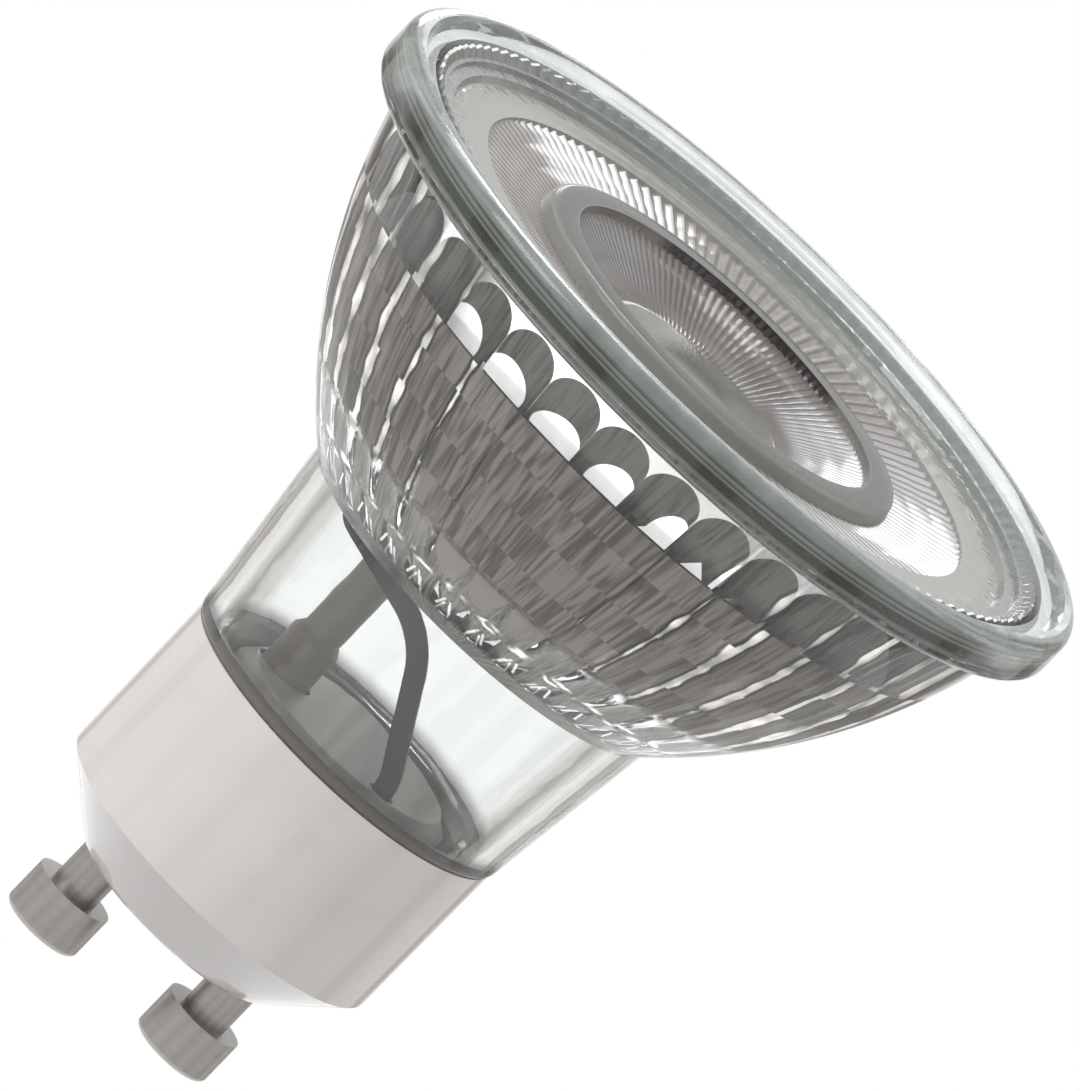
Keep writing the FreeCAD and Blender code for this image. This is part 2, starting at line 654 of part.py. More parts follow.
# Chip resistors around the light source
chips = []
for number, degrees in enumerate(chip_angles):
    x = chip_circle_radius * math.cos(math.radians(degrees))
    y = chip_circle_radius * math.sin(math.radians(degrees))
    chips.append(block(
        "chip_%d" % number, chip_length, chip_width, chip_height, x, y, led_board_top_height
    ))
group = doc.addObject("Part::Compound", "led_chip_resistors")
group.Links = chips
kept(group, "led_chip_resistors")


# Solder joints on the upper board
def top_joint(label, x, y):
    joint = turned(label, [
        (0, 0),
        (top_solder_radius, 0),
        (top_solder_radius / 2, top_solder_height),
        (0, top_solder_height),
    ])
    placed(joint, x, y, led_board_top_height)
    return kept(joint, label)


top_joint("led_solder_live", -pin_x, 0)
top_joint("led_solder_neutral", -strip_top_offset, -strip_front_offset)

# Seal ring and front lens
kept(turned("lens_seal", [
    (ledge_radius, ledge_height),
    (lens_radius, ledge_height),
    (lens_radius, seal_top_height),
    (ledge_radius, seal_top_height),
]), "lens_seal")

lip_inner_radius = lens_radius - lens_lip_width
kept(turned("front_lens", [
    (0, well_floor_height),
    (0, well_floor_height - well_wall),
    (well_floor_radius, well_floor_height - well_wall),
    (well_radius, lens_plug_height),
    (plug_radius, lens_plug_height),
    (plug_radius, seal_top_height),
    (lens_radius, seal_top_height),
    (lens_radius, lens_lip_top),
    (lip_inner_radius, lens_lip_top),
    (lip_inner_radius - lens_face_slope, lens_face_height),
    (ring_outer_radius, lens_face_height),
    (ring_inner_radius, lens_face_height - ring_depth),
    (ring_inner_radius, lens_face_height),
    (well_radius, lens_face_height),
    (well_radius, lens_face_height - well_step),
    (well_floor_radius, well_floor_height),
]), "front_lens")

# Driver board on its seat in the cap
driver_board = turned("driver_board", [
    (0, cap_seat_height),
    (board_radius, cap_seat_height),
    (board_radius, board_top_height),
    (0, board_top_height),
])
tail_hole = pin_tail_radius + hole_clearance
kept(drilled(driver_board, [(-pin_x, 0, tail_hole), (pin_x, 0, tail_hole)]), "driver_board")


# Solder joints that cap the pins' tails and take the leads
def tail_joint(label, x):
    joint = turned(label, [
        (pin_tail_radius, board_top_height),
        (solder_radius, board_top_height),
        (solder_tip_radius, solder_top_height),
        (0, solder_top_height),
        (0, tail_top_height),
        (pin_tail_radius, tail_top_height),
    ])
    placed(joint, x, 0, 0)
    return kept(joint, label)


tail_joint("pin_solder_live", -pin_x)
tail_joint("pin_solder_neutral", pin_x)

# Insulated live lead from the pin's joint up to the light source's board
lead = turned("live_lead", [
    (0, solder_top_height),
    (lead_radius, solder_top_height),
    (lead_radius, pad_top_height),
    (core_radius, pad_top_height),
    (core_radius, led_board_top_height),
    (0, led_board_top_height),
])
kept(placed(lead, -pin_x, 0, 0), "live_lead")

# Shrink sleeve over the lead's lower end
sleeve = turned("live_lead_sleeve", [
    (lead_radius, solder_top_height + sleeve_foot_rise),
    (sleeve_radius, solder_top_height + sleeve_foot_rise),
    (sleeve_radius, sleeve_top_height - sleeve_taper),
    (lead_radius + hole_clearance, sleeve_top_height),
    (lead_radius, sleeve_top_height),
])
kept(placed(sleeve, -pin_x, 0, 0), "live_lead_sleeve")


# Flat return lead: straight runs joined by tangent arcs in one upright plane
def strip_route():
    """The strip's bends as (distance along its plane, height, arc radius)."""
    slant = math.cos(strip_turn)
    start = -strip_top_offset.value
    points = [
        (start, led_board_top_height.value, 0.0),
        (start, strip_knee_height.value, strip_knee_bend.value),
        (strip_crest_offset.value, strip_crest_height.value, strip_crest_bend.value),
        (strip_foot_offset.value, strip_foot_height.value, strip_foot_bend.value),
        (strip_foot_offset.value, strip_joint_top.value, 0.0),
    ]
    return [((x - start) / slant, z, bend) for x, z, bend in points]


def rounded_path(points):
    """A wire through the points with an arc of each inner point's own radius."""
    corners = [FreeCAD.Vector(u, 0, z) for u, z, bend in points]
    edges = []
    last = corners[0]
    for before, corner, after, (_, _, bend) in zip(corners, corners[1:], corners[2:], points[1:]):
        inward = (before - corner).normalize()
        onward = (after - corner).normalize()
        half = inward.getAngle(onward) / 2
        reach = bend / math.tan(half)
        first = corner + inward * reach
        final = corner + onward * reach
        middle = corner + (inward + onward).normalize() * (bend / math.sin(half) - bend)
        edges.append(Part.LineSegment(last, first).toShape())
        edges.append(Part.Arc(first, middle, final).toShape())
        last = final
    edges.append(Part.LineSegment(last, corners[-1]).toShape())
    return Part.Wire(edges)


def strip_solid():
    wide = strip_width.value / 2
    thin = strip_thickness.value / 2
    top = led_board_top_height.value
    section = ((-wide, -thin), (wide, -thin), (wide, thin), (-wide, thin))
    corners = [FreeCAD.Vector(across, through, top) for across, through in section]
    profile = Part.makePolygon(corners + corners[:1])
    return rounded_path(strip_route()).makePipeShell([profile], True, False)


strip = doc.addObject("Part::Feature", "neutral_strip")
strip.Shape = strip_solid()
strip.Placement = FreeCAD.Placement(
    FreeCAD.Vector(-strip_top_offset.value, -strip_front_offset.value, 0),
    FreeCAD.Rotation(FreeCAD.Vector(0, 0, 1), math.degrees(strip_turn)),
)
kept(strip, "neutral_strip")

# Solder joint under the strip's foot
joint = turned("strip_solder", [
    (0, board_top_height),
    (strip_joint_radius, board_top_height),
    (strip_joint_radius - hole_clearance, strip_joint_top),
    (0, strip_joint_top),
])
kept(placed(joint, strip_foot_offset, -strip_foot_front, 0), "strip_solder")

# Insulating cover over the driver, with a hole for the sleeve and one for the strip
cover_inner_radius = cover_radius - cover_wall
cover = turned("insulating_cover", [
    (cover_inner_radius, board_top_height),
    (cover_radius, board_top_height),
    (cover_radius, cover_top_height - cover_edge),
    (cover_radius - cover_edge, cover_top_height),
    (0, cover_top_height),
    (0, cover_ceiling_height),
    (cover_inner_radius - cover_edge, cover_ceiling_height),
    (cover_inner_radius, cover_ceiling_height - cover_edge),
])
kept(drilled(cover, [
    (-pin_x, 0, sleeve_hole_radius),
    (strip_foot_offset, -strip_foot_front, strip_hole_radius),
]), "insulating_cover")

# Parts on the driver board
capacitor = turned("bulk_capacitor", [
    (0, 0),
    (capacitor_radius, 0),
    (capacitor_radius, capacitor_radius / 3),
    (capacitor_radius - capacitor_groove, capacitor_radius / 3 + capacitor_groove),
    (capacitor_radius, capacitor_radius / 3 + capacitor_groove * 2),
    (capacitor_radius, capacitor_height - capacitor_groove),
    (capacitor_radius - capacitor_groove, capacitor_height),
    (0, capacitor_height),
])
kept(placed(capacitor, 0, capacitor_offset, board_top_height), "bulk_capacitor")

inductor = turned("inductor_core", [
    (0, 0),
    (inductor_radius, 0),
    (inductor_radius, inductor_flange),
    (inductor_hub_radius, inductor_flange),
    (inductor_hub_radius, inductor_height - inductor_flange),
    (inductor_radius, inductor_height - inductor_flange),
    (inductor_radius, inductor_height),
    (0, inductor_height),
])
kept(placed(inductor, inductor_x, inductor_y, board_top_height), "inductor_core")

winding = turned("inductor_winding", [
    (inductor_hub_radius, inductor_flange),
    (inductor_radius - winding_inset, inductor_flange),
    (inductor_radius - winding_inset, inductor_height - inductor_flange),
    (inductor_hub_radius, inductor_height - inductor_flange),
])
kept(placed(winding, inductor_x, inductor_y, board_top_height), "inductor_winding")

kept(rod(
    "fusible_resistor", resistor_radius, resistor_height, resistor_x, resistor_y, board_top_height
), "fusible_resistor")
kept(block(
    "bridge_rectifier",
    rectifier_width,
    rectifier_length,
    rectifier_height,
    rectifier_x,
    rectifier_y,
    board_top_height,
), "bridge_rectifier")
kept(block(
    "driver_chip",
    driver_chip_width,
    driver_chip_length,
    driver_chip_height,
    0,
    0,
    cap_seat_height - driver_chip_height,
), "driver_chip")

doc.recompute()

# Every object is sound before anything is written
faults = [o.Name for o in doc.Objects if "Invalid" in o.State or "Error" in o.State]
faults += [n.Label for n in nodes if n.Shape.isNull() or not n.Shape.isValid() or not n.Shape.Solids]
if faults:
    raise RuntimeError("faulty objects: " + ", ".join(faults))

os.makedirs("parts", exist_ok=True)
for node in nodes:
    node.Shape.exportStep("parts/%s.step" % node.Label)
    print("%-22s solids %d  volume %.1f" % (node.Label, len(node.Shape.Solids), node.Shape.Volume))
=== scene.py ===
"""Looks of the reflector spotlight bulb: glass, lens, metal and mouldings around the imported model.

Lengths are written in millimetres, as on the drawing, and turned into metres where a mesh is made.
Frame: +Z along the beam, origin midway between the pins in the cap's bottom face.
"""

import math

import bpy
import numpy as np
from mathutils import Matrix, Vector


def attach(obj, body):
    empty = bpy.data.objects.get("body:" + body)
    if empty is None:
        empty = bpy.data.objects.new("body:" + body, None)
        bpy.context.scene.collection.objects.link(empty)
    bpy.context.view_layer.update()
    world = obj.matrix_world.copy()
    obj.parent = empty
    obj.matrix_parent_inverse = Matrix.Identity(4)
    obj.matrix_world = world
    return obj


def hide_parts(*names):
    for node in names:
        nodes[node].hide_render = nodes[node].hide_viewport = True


MM = 0.001

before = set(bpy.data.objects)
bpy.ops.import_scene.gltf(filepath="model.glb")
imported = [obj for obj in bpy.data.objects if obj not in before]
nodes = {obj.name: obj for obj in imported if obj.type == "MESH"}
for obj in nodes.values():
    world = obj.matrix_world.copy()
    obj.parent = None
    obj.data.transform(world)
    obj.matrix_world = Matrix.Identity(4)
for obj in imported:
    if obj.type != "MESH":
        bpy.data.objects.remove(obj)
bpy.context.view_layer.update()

# Sizes of the turned and pressed pieces, as in the part
CAP_HEIGHT = 14.1
STUB_RADIUS = 9.6
STUB_DEPTH = 5.4
STUB_WALL = 1.2
NECK_RADIUS = 11.1
NECK_BEAD = 0.45
NECK_WALL = 1.3
NECK_THROAT_RISE = 0.75
NECK_TOP_RADIUS = 12.45
NECK_TOP_HEIGHT = 25.4
CUP_FLOOR_HEIGHT = 26.6
CUP_BULGE_RADIUS = 35.3
CUP_TOP_RADIUS = 23.0
CUP_WALL = 1.7
RIM_UNDER_HEIGHT = 44.0
RIM_RADIUS = 25.0
RIM_EDGE = 0.55
RIM_SIDE_HEIGHT = 46.1
RIM_CREST_RADIUS = 24.25
RIM_CREST_WIDTH = 0.35
RIM_CREST_HEIGHT = 46.9
RIM_LIP_RADIUS = 23.45
RIM_LIP_DROP = 0.6
RECESS_RADIUS = 22.7
LEDGE_HEIGHT = 44.3
LEDGE_RADIUS = 21.3
FACET_COLUMNS = 36
FACET_HEIGHTS = (28.2, 30.6, 32.5, 34.9, 37.4, 39.8)
FACET_FLOOR_RADIUS = 12.1
THROAT_ARC = 1.6
THROAT_START_DROP = 0.2
RIM_LIP_ARC = 1.6

# Angles in degrees past which an edge of a skin shows as a crease
SKIN_CREASE = 30
CELL_CREASE = 14
RIB_CREASE = 22


# Mesh helpers

def mesh_object(name, corners, faces, material, sharp_degrees=None):
    """An object at the origin from corners in millimetres."""
    mesh = bpy.data.meshes.new(name)
    mesh.from_pydata((np.asarray(corners, float) * MM).tolist(), [], faces)
    mesh.polygons.foreach_set("use_smooth", [True] * len(mesh.polygons))
    mesh.materials.append(material)
    if sharp_degrees:
        mesh.set_sharp_from_angle(angle=math.radians(sharp_degrees))
    mesh.update()
    thing = bpy.data.objects.new(name, mesh)
    bpy.context.scene.collection.objects.link(thing)
    return thing


def rings_mesh(name, radii, heights, angles, material, closed):
    """Rings stacked into one skin. radii is rings by columns; closed joins last ring to first."""
    count, columns = radii.shape
    corners = np.zeros((count, columns, 3))
    corners[:, :, 0] = radii * np.cos(angles)
    corners[:, :, 1] = radii * np.sin(angles)
    corners[:, :, 2] = heights
    faces = []
    for ring in range(count if closed else count - 1):
        above = (ring + 1) % count
        for column in range(columns):
            beside = (column + 1) % columns
            faces.append((
                ring * columns + column,
                ring * columns + beside,
                above * columns + beside,
                above * columns + column,
            ))
    if not closed:
        faces.append(tuple(reversed(range(columns))))
        faces.append(tuple((count - 1) * columns + column for column in range(columns)))
    return mesh_object(name, corners.reshape(-1, 3), faces, material, SKIN_CREASE)


def arc_points(start, finish, radius, steps):
    """Points on the short arc between two (radius, height) corners; + bulges right of the way."""
    start, finish = np.array(start, float), np.array(finish, float)
    chord = finish - start
    length = np.linalg.norm(chord)
    side = np.array([-chord[1], chord[0]]) / length
    reach = math.sqrt(radius * radius - length * length / 4)
    centre = (start + finish) / 2 + side * (reach if radius > 0 else -reach)
    first = math.atan2(*(start - centre)[::-1])
    turn = math.atan2(*(finish - centre)[::-1]) - first
    turn = (turn + math.pi) % (2 * math.pi) - math.pi
    points = []
    for k in range(1, steps):
        angle = first + turn * k / steps
        points.append(tuple(centre + abs(radius) * np.array([math.cos(angle), math.sin(angle)])))
    return points


def path(*corners):
    """A section as a list of (radius, height). A corner's third entry is the arc that leaves it."""
    points = []
    for number, corner in enumerate(corners):
        points.append(tuple(corner[:2]))
        if len(corner) > 2 and number + 1 < len(corners):
            steps = corner[3] if len(corner) > 3 else 6
            points += arc_points(corner[:2], corners[number + 1][:2], corner[2], steps)
    return points


# Materials

def material(name):
    made = bpy.data.materials.new(name)
    made.use_nodes = True
    made.node_tree.nodes.clear()
    return made


class Tree:
    """Short words for building a shader tree."""

    def __init__(self, owner):
        self.tree = owner.node_tree

    def node(self, kind, **settings):
        made = self.tree.nodes.new(kind)
        for key, value in settings.items():
            setattr(made, key, value)
        return made

    def link(self, source, target):
        self.tree.links.new(source, target)

    def math(self, operation, first, second=None):
        made = self.node("ShaderNodeMath", operation=operation)
        for socket, value in zip(made.inputs, (first, second)):
            if value is None:
                continue
            if isinstance(value, (int, float)):
                socket.default_value = value
            else:
                self.link(value, socket)
        return made.outputs[0]

    def chained(self, operation, values):
        made = values[0]
        for value in values[1:]:
            made = self.math(operation, made, value)
        return made

    def total(self, *values):
        return self.chained("ADD", values)

    def product(self, *values):
        return self.chained("MULTIPLY", values)

    def less(self, first, second):
        return self.math("SUBTRACT", first, second)

    def ratio(self, first, second):
        return self.math("DIVIDE", first, second)

    def over(self, value, limit):
        return self.math("GREATER_THAN", value, limit)

    def under(self, value, limit):
        return self.math("LESS_THAN", value, limit)

    def round_distance(self, x, y):
        """Distance from the lamp's axis."""
        return self.math("SQRT", self.total(self.product(x, x), self.product(y, y)))

    def vector(self, *values):
        made = self.node("ShaderNodeCombineXYZ")
        for socket, value in zip(made.inputs, values):
            self.link(value, socket)
        return made.outputs[0]

    def stepped(self, value, start, end):
        """A soft step from 0 at start to 1 at end."""
        made = self.node("ShaderNodeMapRange", interpolation_type="SMOOTHSTEP")
        made.inputs["From Min"].default_value = start
        made.inputs["From Max"].default_value = end
        self.link(value, made.inputs["Value"])
        return made.outputs[0]

    def zone(self, length, start, full, thin, end):
        """1 from full to thin, 0 before start and after end, in millimetres."""
        rising = self.stepped(length, start * MM, full * MM)
        return self.product(rising, self.stepped(length, end * MM, thin * MM))

    def place(self):
        """Object coordinates as three sockets."""
        coordinates = self.node("ShaderNodeTexCoord")
        parts = self.node("ShaderNodeSeparateXYZ")
        self.link(coordinates.outputs["Object"], parts.inputs[0])
        return parts.outputs

    def noise(self, vector, scale, detail=3.0, roughness=0.5, distortion=0.0):
        made = self.node("ShaderNodeTexNoise")
        made.inputs["Distortion"].default_value = distortion
        made.inputs["Scale"].default_value = scale
        made.inputs["Detail"].default_value = detail
        made.inputs["Roughness"].default_value = roughness
        self.link(vector, made.inputs["Vector"])
        return made.outputs["Fac"]

    def object_vector(self, stretch=(1, 1, 1)):
        coordinates = self.node("ShaderNodeTexCoord")
        mapping = self.node("ShaderNodeMapping")
        mapping.inputs["Scale"].default_value = stretch
        self.link(coordinates.outputs["Object"], mapping.inputs["Vector"])
        return mapping.outputs[0]

    def ramp(self, factor, low, high, start=0.3, end=0.7):
        made = self.node("ShaderNodeValToRGB")
        made.color_ramp.elements[0].position = start
        made.color_ramp.elements[1].position = end
        made.color_ramp.elements[0].color = (*low, 1)
        made.color_ramp.elements[1].color = (*high, 1)
        self.link(factor, made.inputs[0])
        return made.outputs[0]

    def bump(self, height, strength, distance):
        made = self.node("ShaderNodeBump")
        made.inputs["Strength"].default_value = strength
        made.inputs["Distance"].default_value = distance
        self.link(height, made.inputs["Height"])
        return made.outputs[0]

    def principled(self, **values):
        made = self.node("ShaderNodeBsdfPrincipled")
        for key, value in values.items():
            socket = made.inputs[key.replace("_", " ")]
            if isinstance(value, bpy.types.NodeSocket):
                self.link(value, socket)
            else:
                socket.default_value = value
        return made

    def bands(self, length, zones):
        """Colours along a length, from pairs of a place in millimetres and a colour."""
        made = self.node("ShaderNodeValToRGB")
        low, high = zones[0][0], zones[-1][0]
        self.link(self.ratio(self.less(length, low * MM), (high - low) * MM), made.inputs[0])
        stops = made.color_ramp.elements
        while len(stops) < len(zones):
            stops.new(0.5)
        for stop, (place, tone) in zip(stops, zones):
            stop.position = (place - low) / (high - low)
            stop.color = (*tone, 1)
        return made.outputs[0]

    def chance(self, number):
        """A random share for each whole number."""
        made = self.node("ShaderNodeTexWhiteNoise", noise_dimensions="1D")
        self.link(number, made.inputs["W"])
        return made.outputs["Value"]

    def mixed(self, share, first, second):
        made = self.node("ShaderNodeMixShader")
        self.link(share, made.inputs[0])
        self.link(first.outputs[0], made.inputs[1])
        self.link(second.outputs[0], made.inputs[2])
        return made

    def tinted(self, share, first, second, blend="MIX"):
        """A colour turned towards a second one, which is a socket or a plain tone."""
        made = self.node("ShaderNodeMixRGB", blend_type=blend)
        self.link(share, made.inputs[0])
        self.link(first, made.inputs[1])
        if isinstance(second, bpy.types.NodeSocket):
            self.link(second, made.inputs[2])
        else:
            made.inputs[2].default_value = (*second, 1)
        return made.outputs[0]

    def paint(self, tone, roughness):
        return self.principled(Base_Color=(*tone, 1), Roughness=roughness)

    def output(self, surface, volume=None):
        made = self.node("ShaderNodeOutputMaterial")
        self.link(surface, made.inputs["Surface"])
        if volume is not None:
            self.link(volume, made.inputs["Volume"])


# Pressed glass: tones, levels and places of the painted refraction, painted shade, painted glints and
# painted reflections that show in and between its cells.
# Shares are of a cell's half width or of the top row's height, and sideness is |x| / radius.

GLASS_TONE = (0.97, 0.985, 0.975)
GLASS_INDEX = 1.5
GLASS_GREEN = (0.50, 0.62, 0.56)
GLASS_DENSITY = 18
RIPPLES_PER_METRE = 260
RIPPLE_STRENGTH = 0.06
RIPPLE_HEIGHT = 0.4
FINE_PER_METRE = 700
FINE_STRETCH = (1, 1, 0.6)

# Painted refraction: grey streaks put on the glass where the spreader shows through its cells
REFRACTION_DARK = (0.125, 0.115, 0.105)
REFRACTION_PALE = (0.275, 0.256, 0.238)
REFRACTION_SPAN = (0.36, 0.60)
REFRACTION_LEVEL = 0.82
REFRACTION_LOBES = 0.9
REFRACTION_START = (-0.5, 0.1)
REFRACTION_TOP_GAP = 0.1
INSIDE_MARGIN = 0.4
STREAKS_PER_CELL = 4.5
STREAKS_PER_METRE = 110.0
STREAK_SCALE = 1.6
STREAK_DETAIL = 1.6
STREAK_CURL = 1.2
CELL_SHIFT = 9.0
CELL_LAYER = 5.0
CELL_SPREAD = 0.10
LOBE_SPREAD = 0.03
# Painted shade: the streaks turn darker towards the lamp's sides
SIDE_SHADE_TONE = (0.35, 0.34, 0.33)
SIDE_SHADE_LEVEL = 0.5
SIDE_SHADE_FADE = (0.35, 0.8)

# Painted reflections in the top row: glowing white half ovals and small tents, with their sizes and places
WINDOW_TONE = (0.98, 0.98, 0.98)
WINDOW_GLOW = 0.55
WINDOW_WIDTH = 0.86
WINDOW_TAPER = 0.33
WINDOW_SHRINK = 0.78
WINDOW_LEAST = 0.06
WINDOW_HEIGHT = 0.27
WINDOW_FOOT = 0.95
WINDOW_RISE = 0.75
WINDOW_LEAN = 1.7
WINDOW_LEAN_SPREAD = 0.2
WINDOW_OFFSET = 0.5
WINDOW_REACH = 1.15
WINDOW_EDGE = (1.06, 0.94)
WINDOW_FADE = (0.66, 0.46)
WINDOW_UNDER = -0.07
TENT_SPREAD = 0.9
TENT_WIDTH = 0.28
TENT_HEIGHT = 0.12
TENT_EDGE = (1.08, 0.94)
TENT_START = (0.12, 0.16)
TENT_END = (0.5, 0.42)

# Painted reflections in the white gaps between the lobes' arches
LOBE_MIDDLE = 0.42
LOBE_TOP = 0.79
SPANDREL_TOP = 0.93
SPANDREL_EDGE = (0.97, 1.05)
SPANDREL_START = (-0.07, 0.05)
SPANDREL_END = (0.60, 0.42)
SPANDREL_CHANCE = (0.3, 0.8)
SPANDREL_LEVEL = 0.55

# Painted glints on the knobs of the lowest row
KNOB_WOBBLE = 0.9
KNOB_EDGE = (0.16, 0.05)
KNOB_ENDS = (0.02, 0.45)
KNOB_GRAIN = (0.42, 0.56)
KNOB_LEVEL = 0.6
# Painted glints along the pyramids' sides
TRIANGLE_HEIGHT = 0.75
TRIANGLE_FOOT = 0.50
TRIANGLE_SLOPE = 0.30
TRIANGLE_INNER = (-0.03, 0.02)
TRIANGLE_OUTER = (0.16, 0.10)
TRIANGLE_LEVEL = 0.45

BORDER_WEAVE = 0.7
BORDER_WEAVE_LEAST = 0.05
BORDER_GROWTH = 0.45
BORDER_SPREAD = 0.35
VEIL_EDGE = (1.10, 1.02)
SIDES_FADE = (0.12, 0.45)
# Painted shade: dark lines round the cells at the lamp's sides
SHADE_LINE_TONE = (0.03, 0.034, 0.03)
SHADE_LINE_LEVEL = 0.7
OUTLINE_INNER = (0.98, 1.03)
OUTLINE_OUTER = (1.13, 1.08)
# Painted glints: pale, glowing shards between the cells at the lamp's sides
GLINT_TONE = (0.90, 0.87, 0.83)
GLINT_WARMTH = (1, 0.98, 0.96)
GLINT_GLOW = 0.3
GLINT_LEVEL = 0.85
GLINT_EDGE = (1.12, 1.18)
GLINT_TOP = (0.82, 0.74)
SHARD_CONTRAST = 2.6
SHARD_LOSS = 0.72

# Painted light: pale fingers hanging below the second row of cells
FINGER_TONE = (0.52, 0.48, 0.47)
FINGER_GAP = 0.35
FINGER_LENGTH = 1.6
FINGER_NARROWING = 1.25
FINGER_EDGE = (1.05, 0.85)
FINGER_FADE = (0.55, 0.25)
FINGER_SPREAD = 0.2
FINGER_LEVEL = 0.6

FOOT_TONE = (0.26, 0.245, 0.232)
FOOT_ZONE = (1.5, 0.3)
FOOT_LEVEL = 0.6
# Painted reflections: faint cream and umber stripes at the sides of the neck
CREAM = (0.80, 0.74, 0.66)
UMBER = (0.42, 0.36, 0.30)
STRIPE_SCALE = 0.7
STRIPE_SPAN = (0.4, 0.6)
STRIPE_START = (1.1, 1.9)
STRIPE_SIDES = (0.70, 0.86)
STRIPE_EDGE = (0.42, 0.52)
STRIPE_LEVEL = 0.11

# Painted shade and painted highlights: dark, green and pale lines on the glass wall round the lens
RIM_DARK = (0.07, 0.075, 0.065)
RIM_GREEN = (0.05, 0.065, 0.045)
RIM_GREY = (0.24, 0.255, 0.235)
RIM_PALE = (0.42, 0.44, 0.42)
RIM_LINES = (
    (44.3, RIM_GREY), (44.45, RIM_GREY), (44.6, RIM_GREEN), (45.0, RIM_GREEN),
    (45.08, RIM_GREY), (45.15, RIM_PALE), (45.22, RIM_DARK), (45.30, RIM_GREY),
    (45.42, RIM_PALE), (45.48, RIM_GREY), (45.55, RIM_DARK), (45.62, RIM_GREY),
    (45.75, RIM_DARK), (45.85, RIM_GREY), (46.0, RIM_PALE), (46.3, RIM_GREY),
)
RIM_LINE_LEVEL = 0.75
RECESS_BAND = 0.15
RECESS_MARGIN = 0.05
HAZE_TONE = (0.45, 0.505, 0.485)
HAZE_LEAST = 0.2
HAZE_GRAIN = 0.35
HAZE_EDGE = 0.1


class CellPlace:
    """Where a point of the glass lies: in the round, in its column of cells and in its cell."""

    def __init__(self, t):
        self.x, self.y, self.height = t.place()
        self.radius = t.round_distance(self.x, self.y)
        self.turn = t.total(t.ratio(t.math("ARCTAN2", self.y, self.x), 2 * math.pi / FACET_COLUMNS), 0.5)
        column = t.math("FLOOR", self.turn)
        self.across = t.less(t.product(t.math("FRACT", self.turn), 2.0), 1.0)
        self.across_squared = t.product(self.across, self.across)
        self.column_chance = t.chance(column)
        self.cell_chance = t.chance(t.total(t.product(column, 7.0), row_number(t, self.height)))
        self.side = t.product(t.ratio(self.x, self.radius), t.math("SIGN", self.y))
        self.sideness = t.math("ABSOLUTE", self.side)
        top_row = FACET_HEIGHTS[-1] * MM
        self.up = t.ratio(t.less(self.height, top_row), LEDGE_HEIGHT * MM - top_row)
        self.inside = t.under(self.radius, (LEDGE_RADIUS + INSIDE_MARGIN) * MM)
        self.fine = t.noise(t.object_vector(FINE_STRETCH), FINE_PER_METRE, 1.5)
        self.stripes = t.noise(t.vector(self.turn), STRIPE_SCALE, 1.0)


def row_number(t, height):
    """How many rows of cells end below a height."""
    row = t.over(height, FACET_HEIGHTS[0] * MM)
    for edge in FACET_HEIGHTS[1:]:
        row = t.total(row, t.over(height, edge * MM))
    return row


def painted_refraction(t, at):
    """Painted refraction: grey streaks in the cells that stand in for the streaked spreader seen through the
    glass, with a shift of their own in each one, and painted shade towards the lamp's sides.
    """
    along = t.total(t.product(at.turn, STREAKS_PER_CELL), t.product(at.cell_chance, CELL_SHIFT))
    grain = t.vector(along, t.product(at.height, STREAKS_PER_METRE), t.product(at.cell_chance, CELL_LAYER))
    streaks = t.noise(grain, STREAK_SCALE, STREAK_DETAIL, 0.5, STREAK_CURL)
    streaks = t.total(streaks, t.product(t.less(at.cell_chance, 0.5), CELL_SPREAD))
    streaks = t.total(streaks, t.product(t.over(at.height, FACET_HEIGHTS[-1] * MM), LOBE_SPREAD))
    # painted shade towards the lamp's sides
    side_shade = t.product(t.stepped(at.sideness, *SIDE_SHADE_FADE), SIDE_SHADE_LEVEL)
    tone = t.tinted(side_shade, t.ramp(streaks, REFRACTION_DARK, REFRACTION_PALE, *REFRACTION_SPAN), SIDE_SHADE_TONE, "MULTIPLY")
    return t.principled(Base_Color=tone, Metallic=0.6, Roughness=0.4)


def top_row_windows(t, at):
    """Painted reflections: white half ovals at the foot of the lobes, leaning with the side, and small tents
    beside them.
    """
    lean = t.less(t.product(at.column_chance, WINDOW_LEAN_SPREAD), WINDOW_OFFSET)
    lean = t.total(t.product(at.side, WINDOW_LEAN), lean)
    lean = t.math("MINIMUM", t.math("MAXIMUM", lean, -WINDOW_REACH), WINDOW_REACH)
    bent = t.math("ABSOLUTE", lean)
    away = t.math("MAXIMUM", t.product(at.side, -1.0), 0.0)
    tall = t.total(t.product(bent, WINDOW_HEIGHT * WINDOW_RISE), WINDOW_HEIGHT * WINDOW_FOOT)
    low = t.ratio(at.up, tall)
    half = t.less(WINDOW_WIDTH, t.product(bent, WINDOW_WIDTH * WINDOW_TAPER))
    half = t.math("MAXIMUM", t.less(half, t.product(away, WINDOW_SHRINK)), WINDOW_LEAST)
    wide = t.ratio(t.total(at.across, lean), half)
    window = t.stepped(t.total(t.product(wide, wide), t.product(low, low)), *WINDOW_EDGE)
    window = t.product(window, t.stepped(at.sideness, *WINDOW_FADE))
    astray = t.less(at.across, t.less(t.product(at.column_chance, TENT_SPREAD), TENT_SPREAD / 2))
    tent = t.total(t.ratio(t.math("ABSOLUTE", astray), TENT_WIDTH), t.ratio(at.up, TENT_HEIGHT))
    tent = t.product(t.stepped(tent, *TENT_EDGE), t.stepped(away, *TENT_START))
    tent = t.product(tent, t.stepped(away, *TENT_END))
    return t.math("MAXIMUM", window, tent)


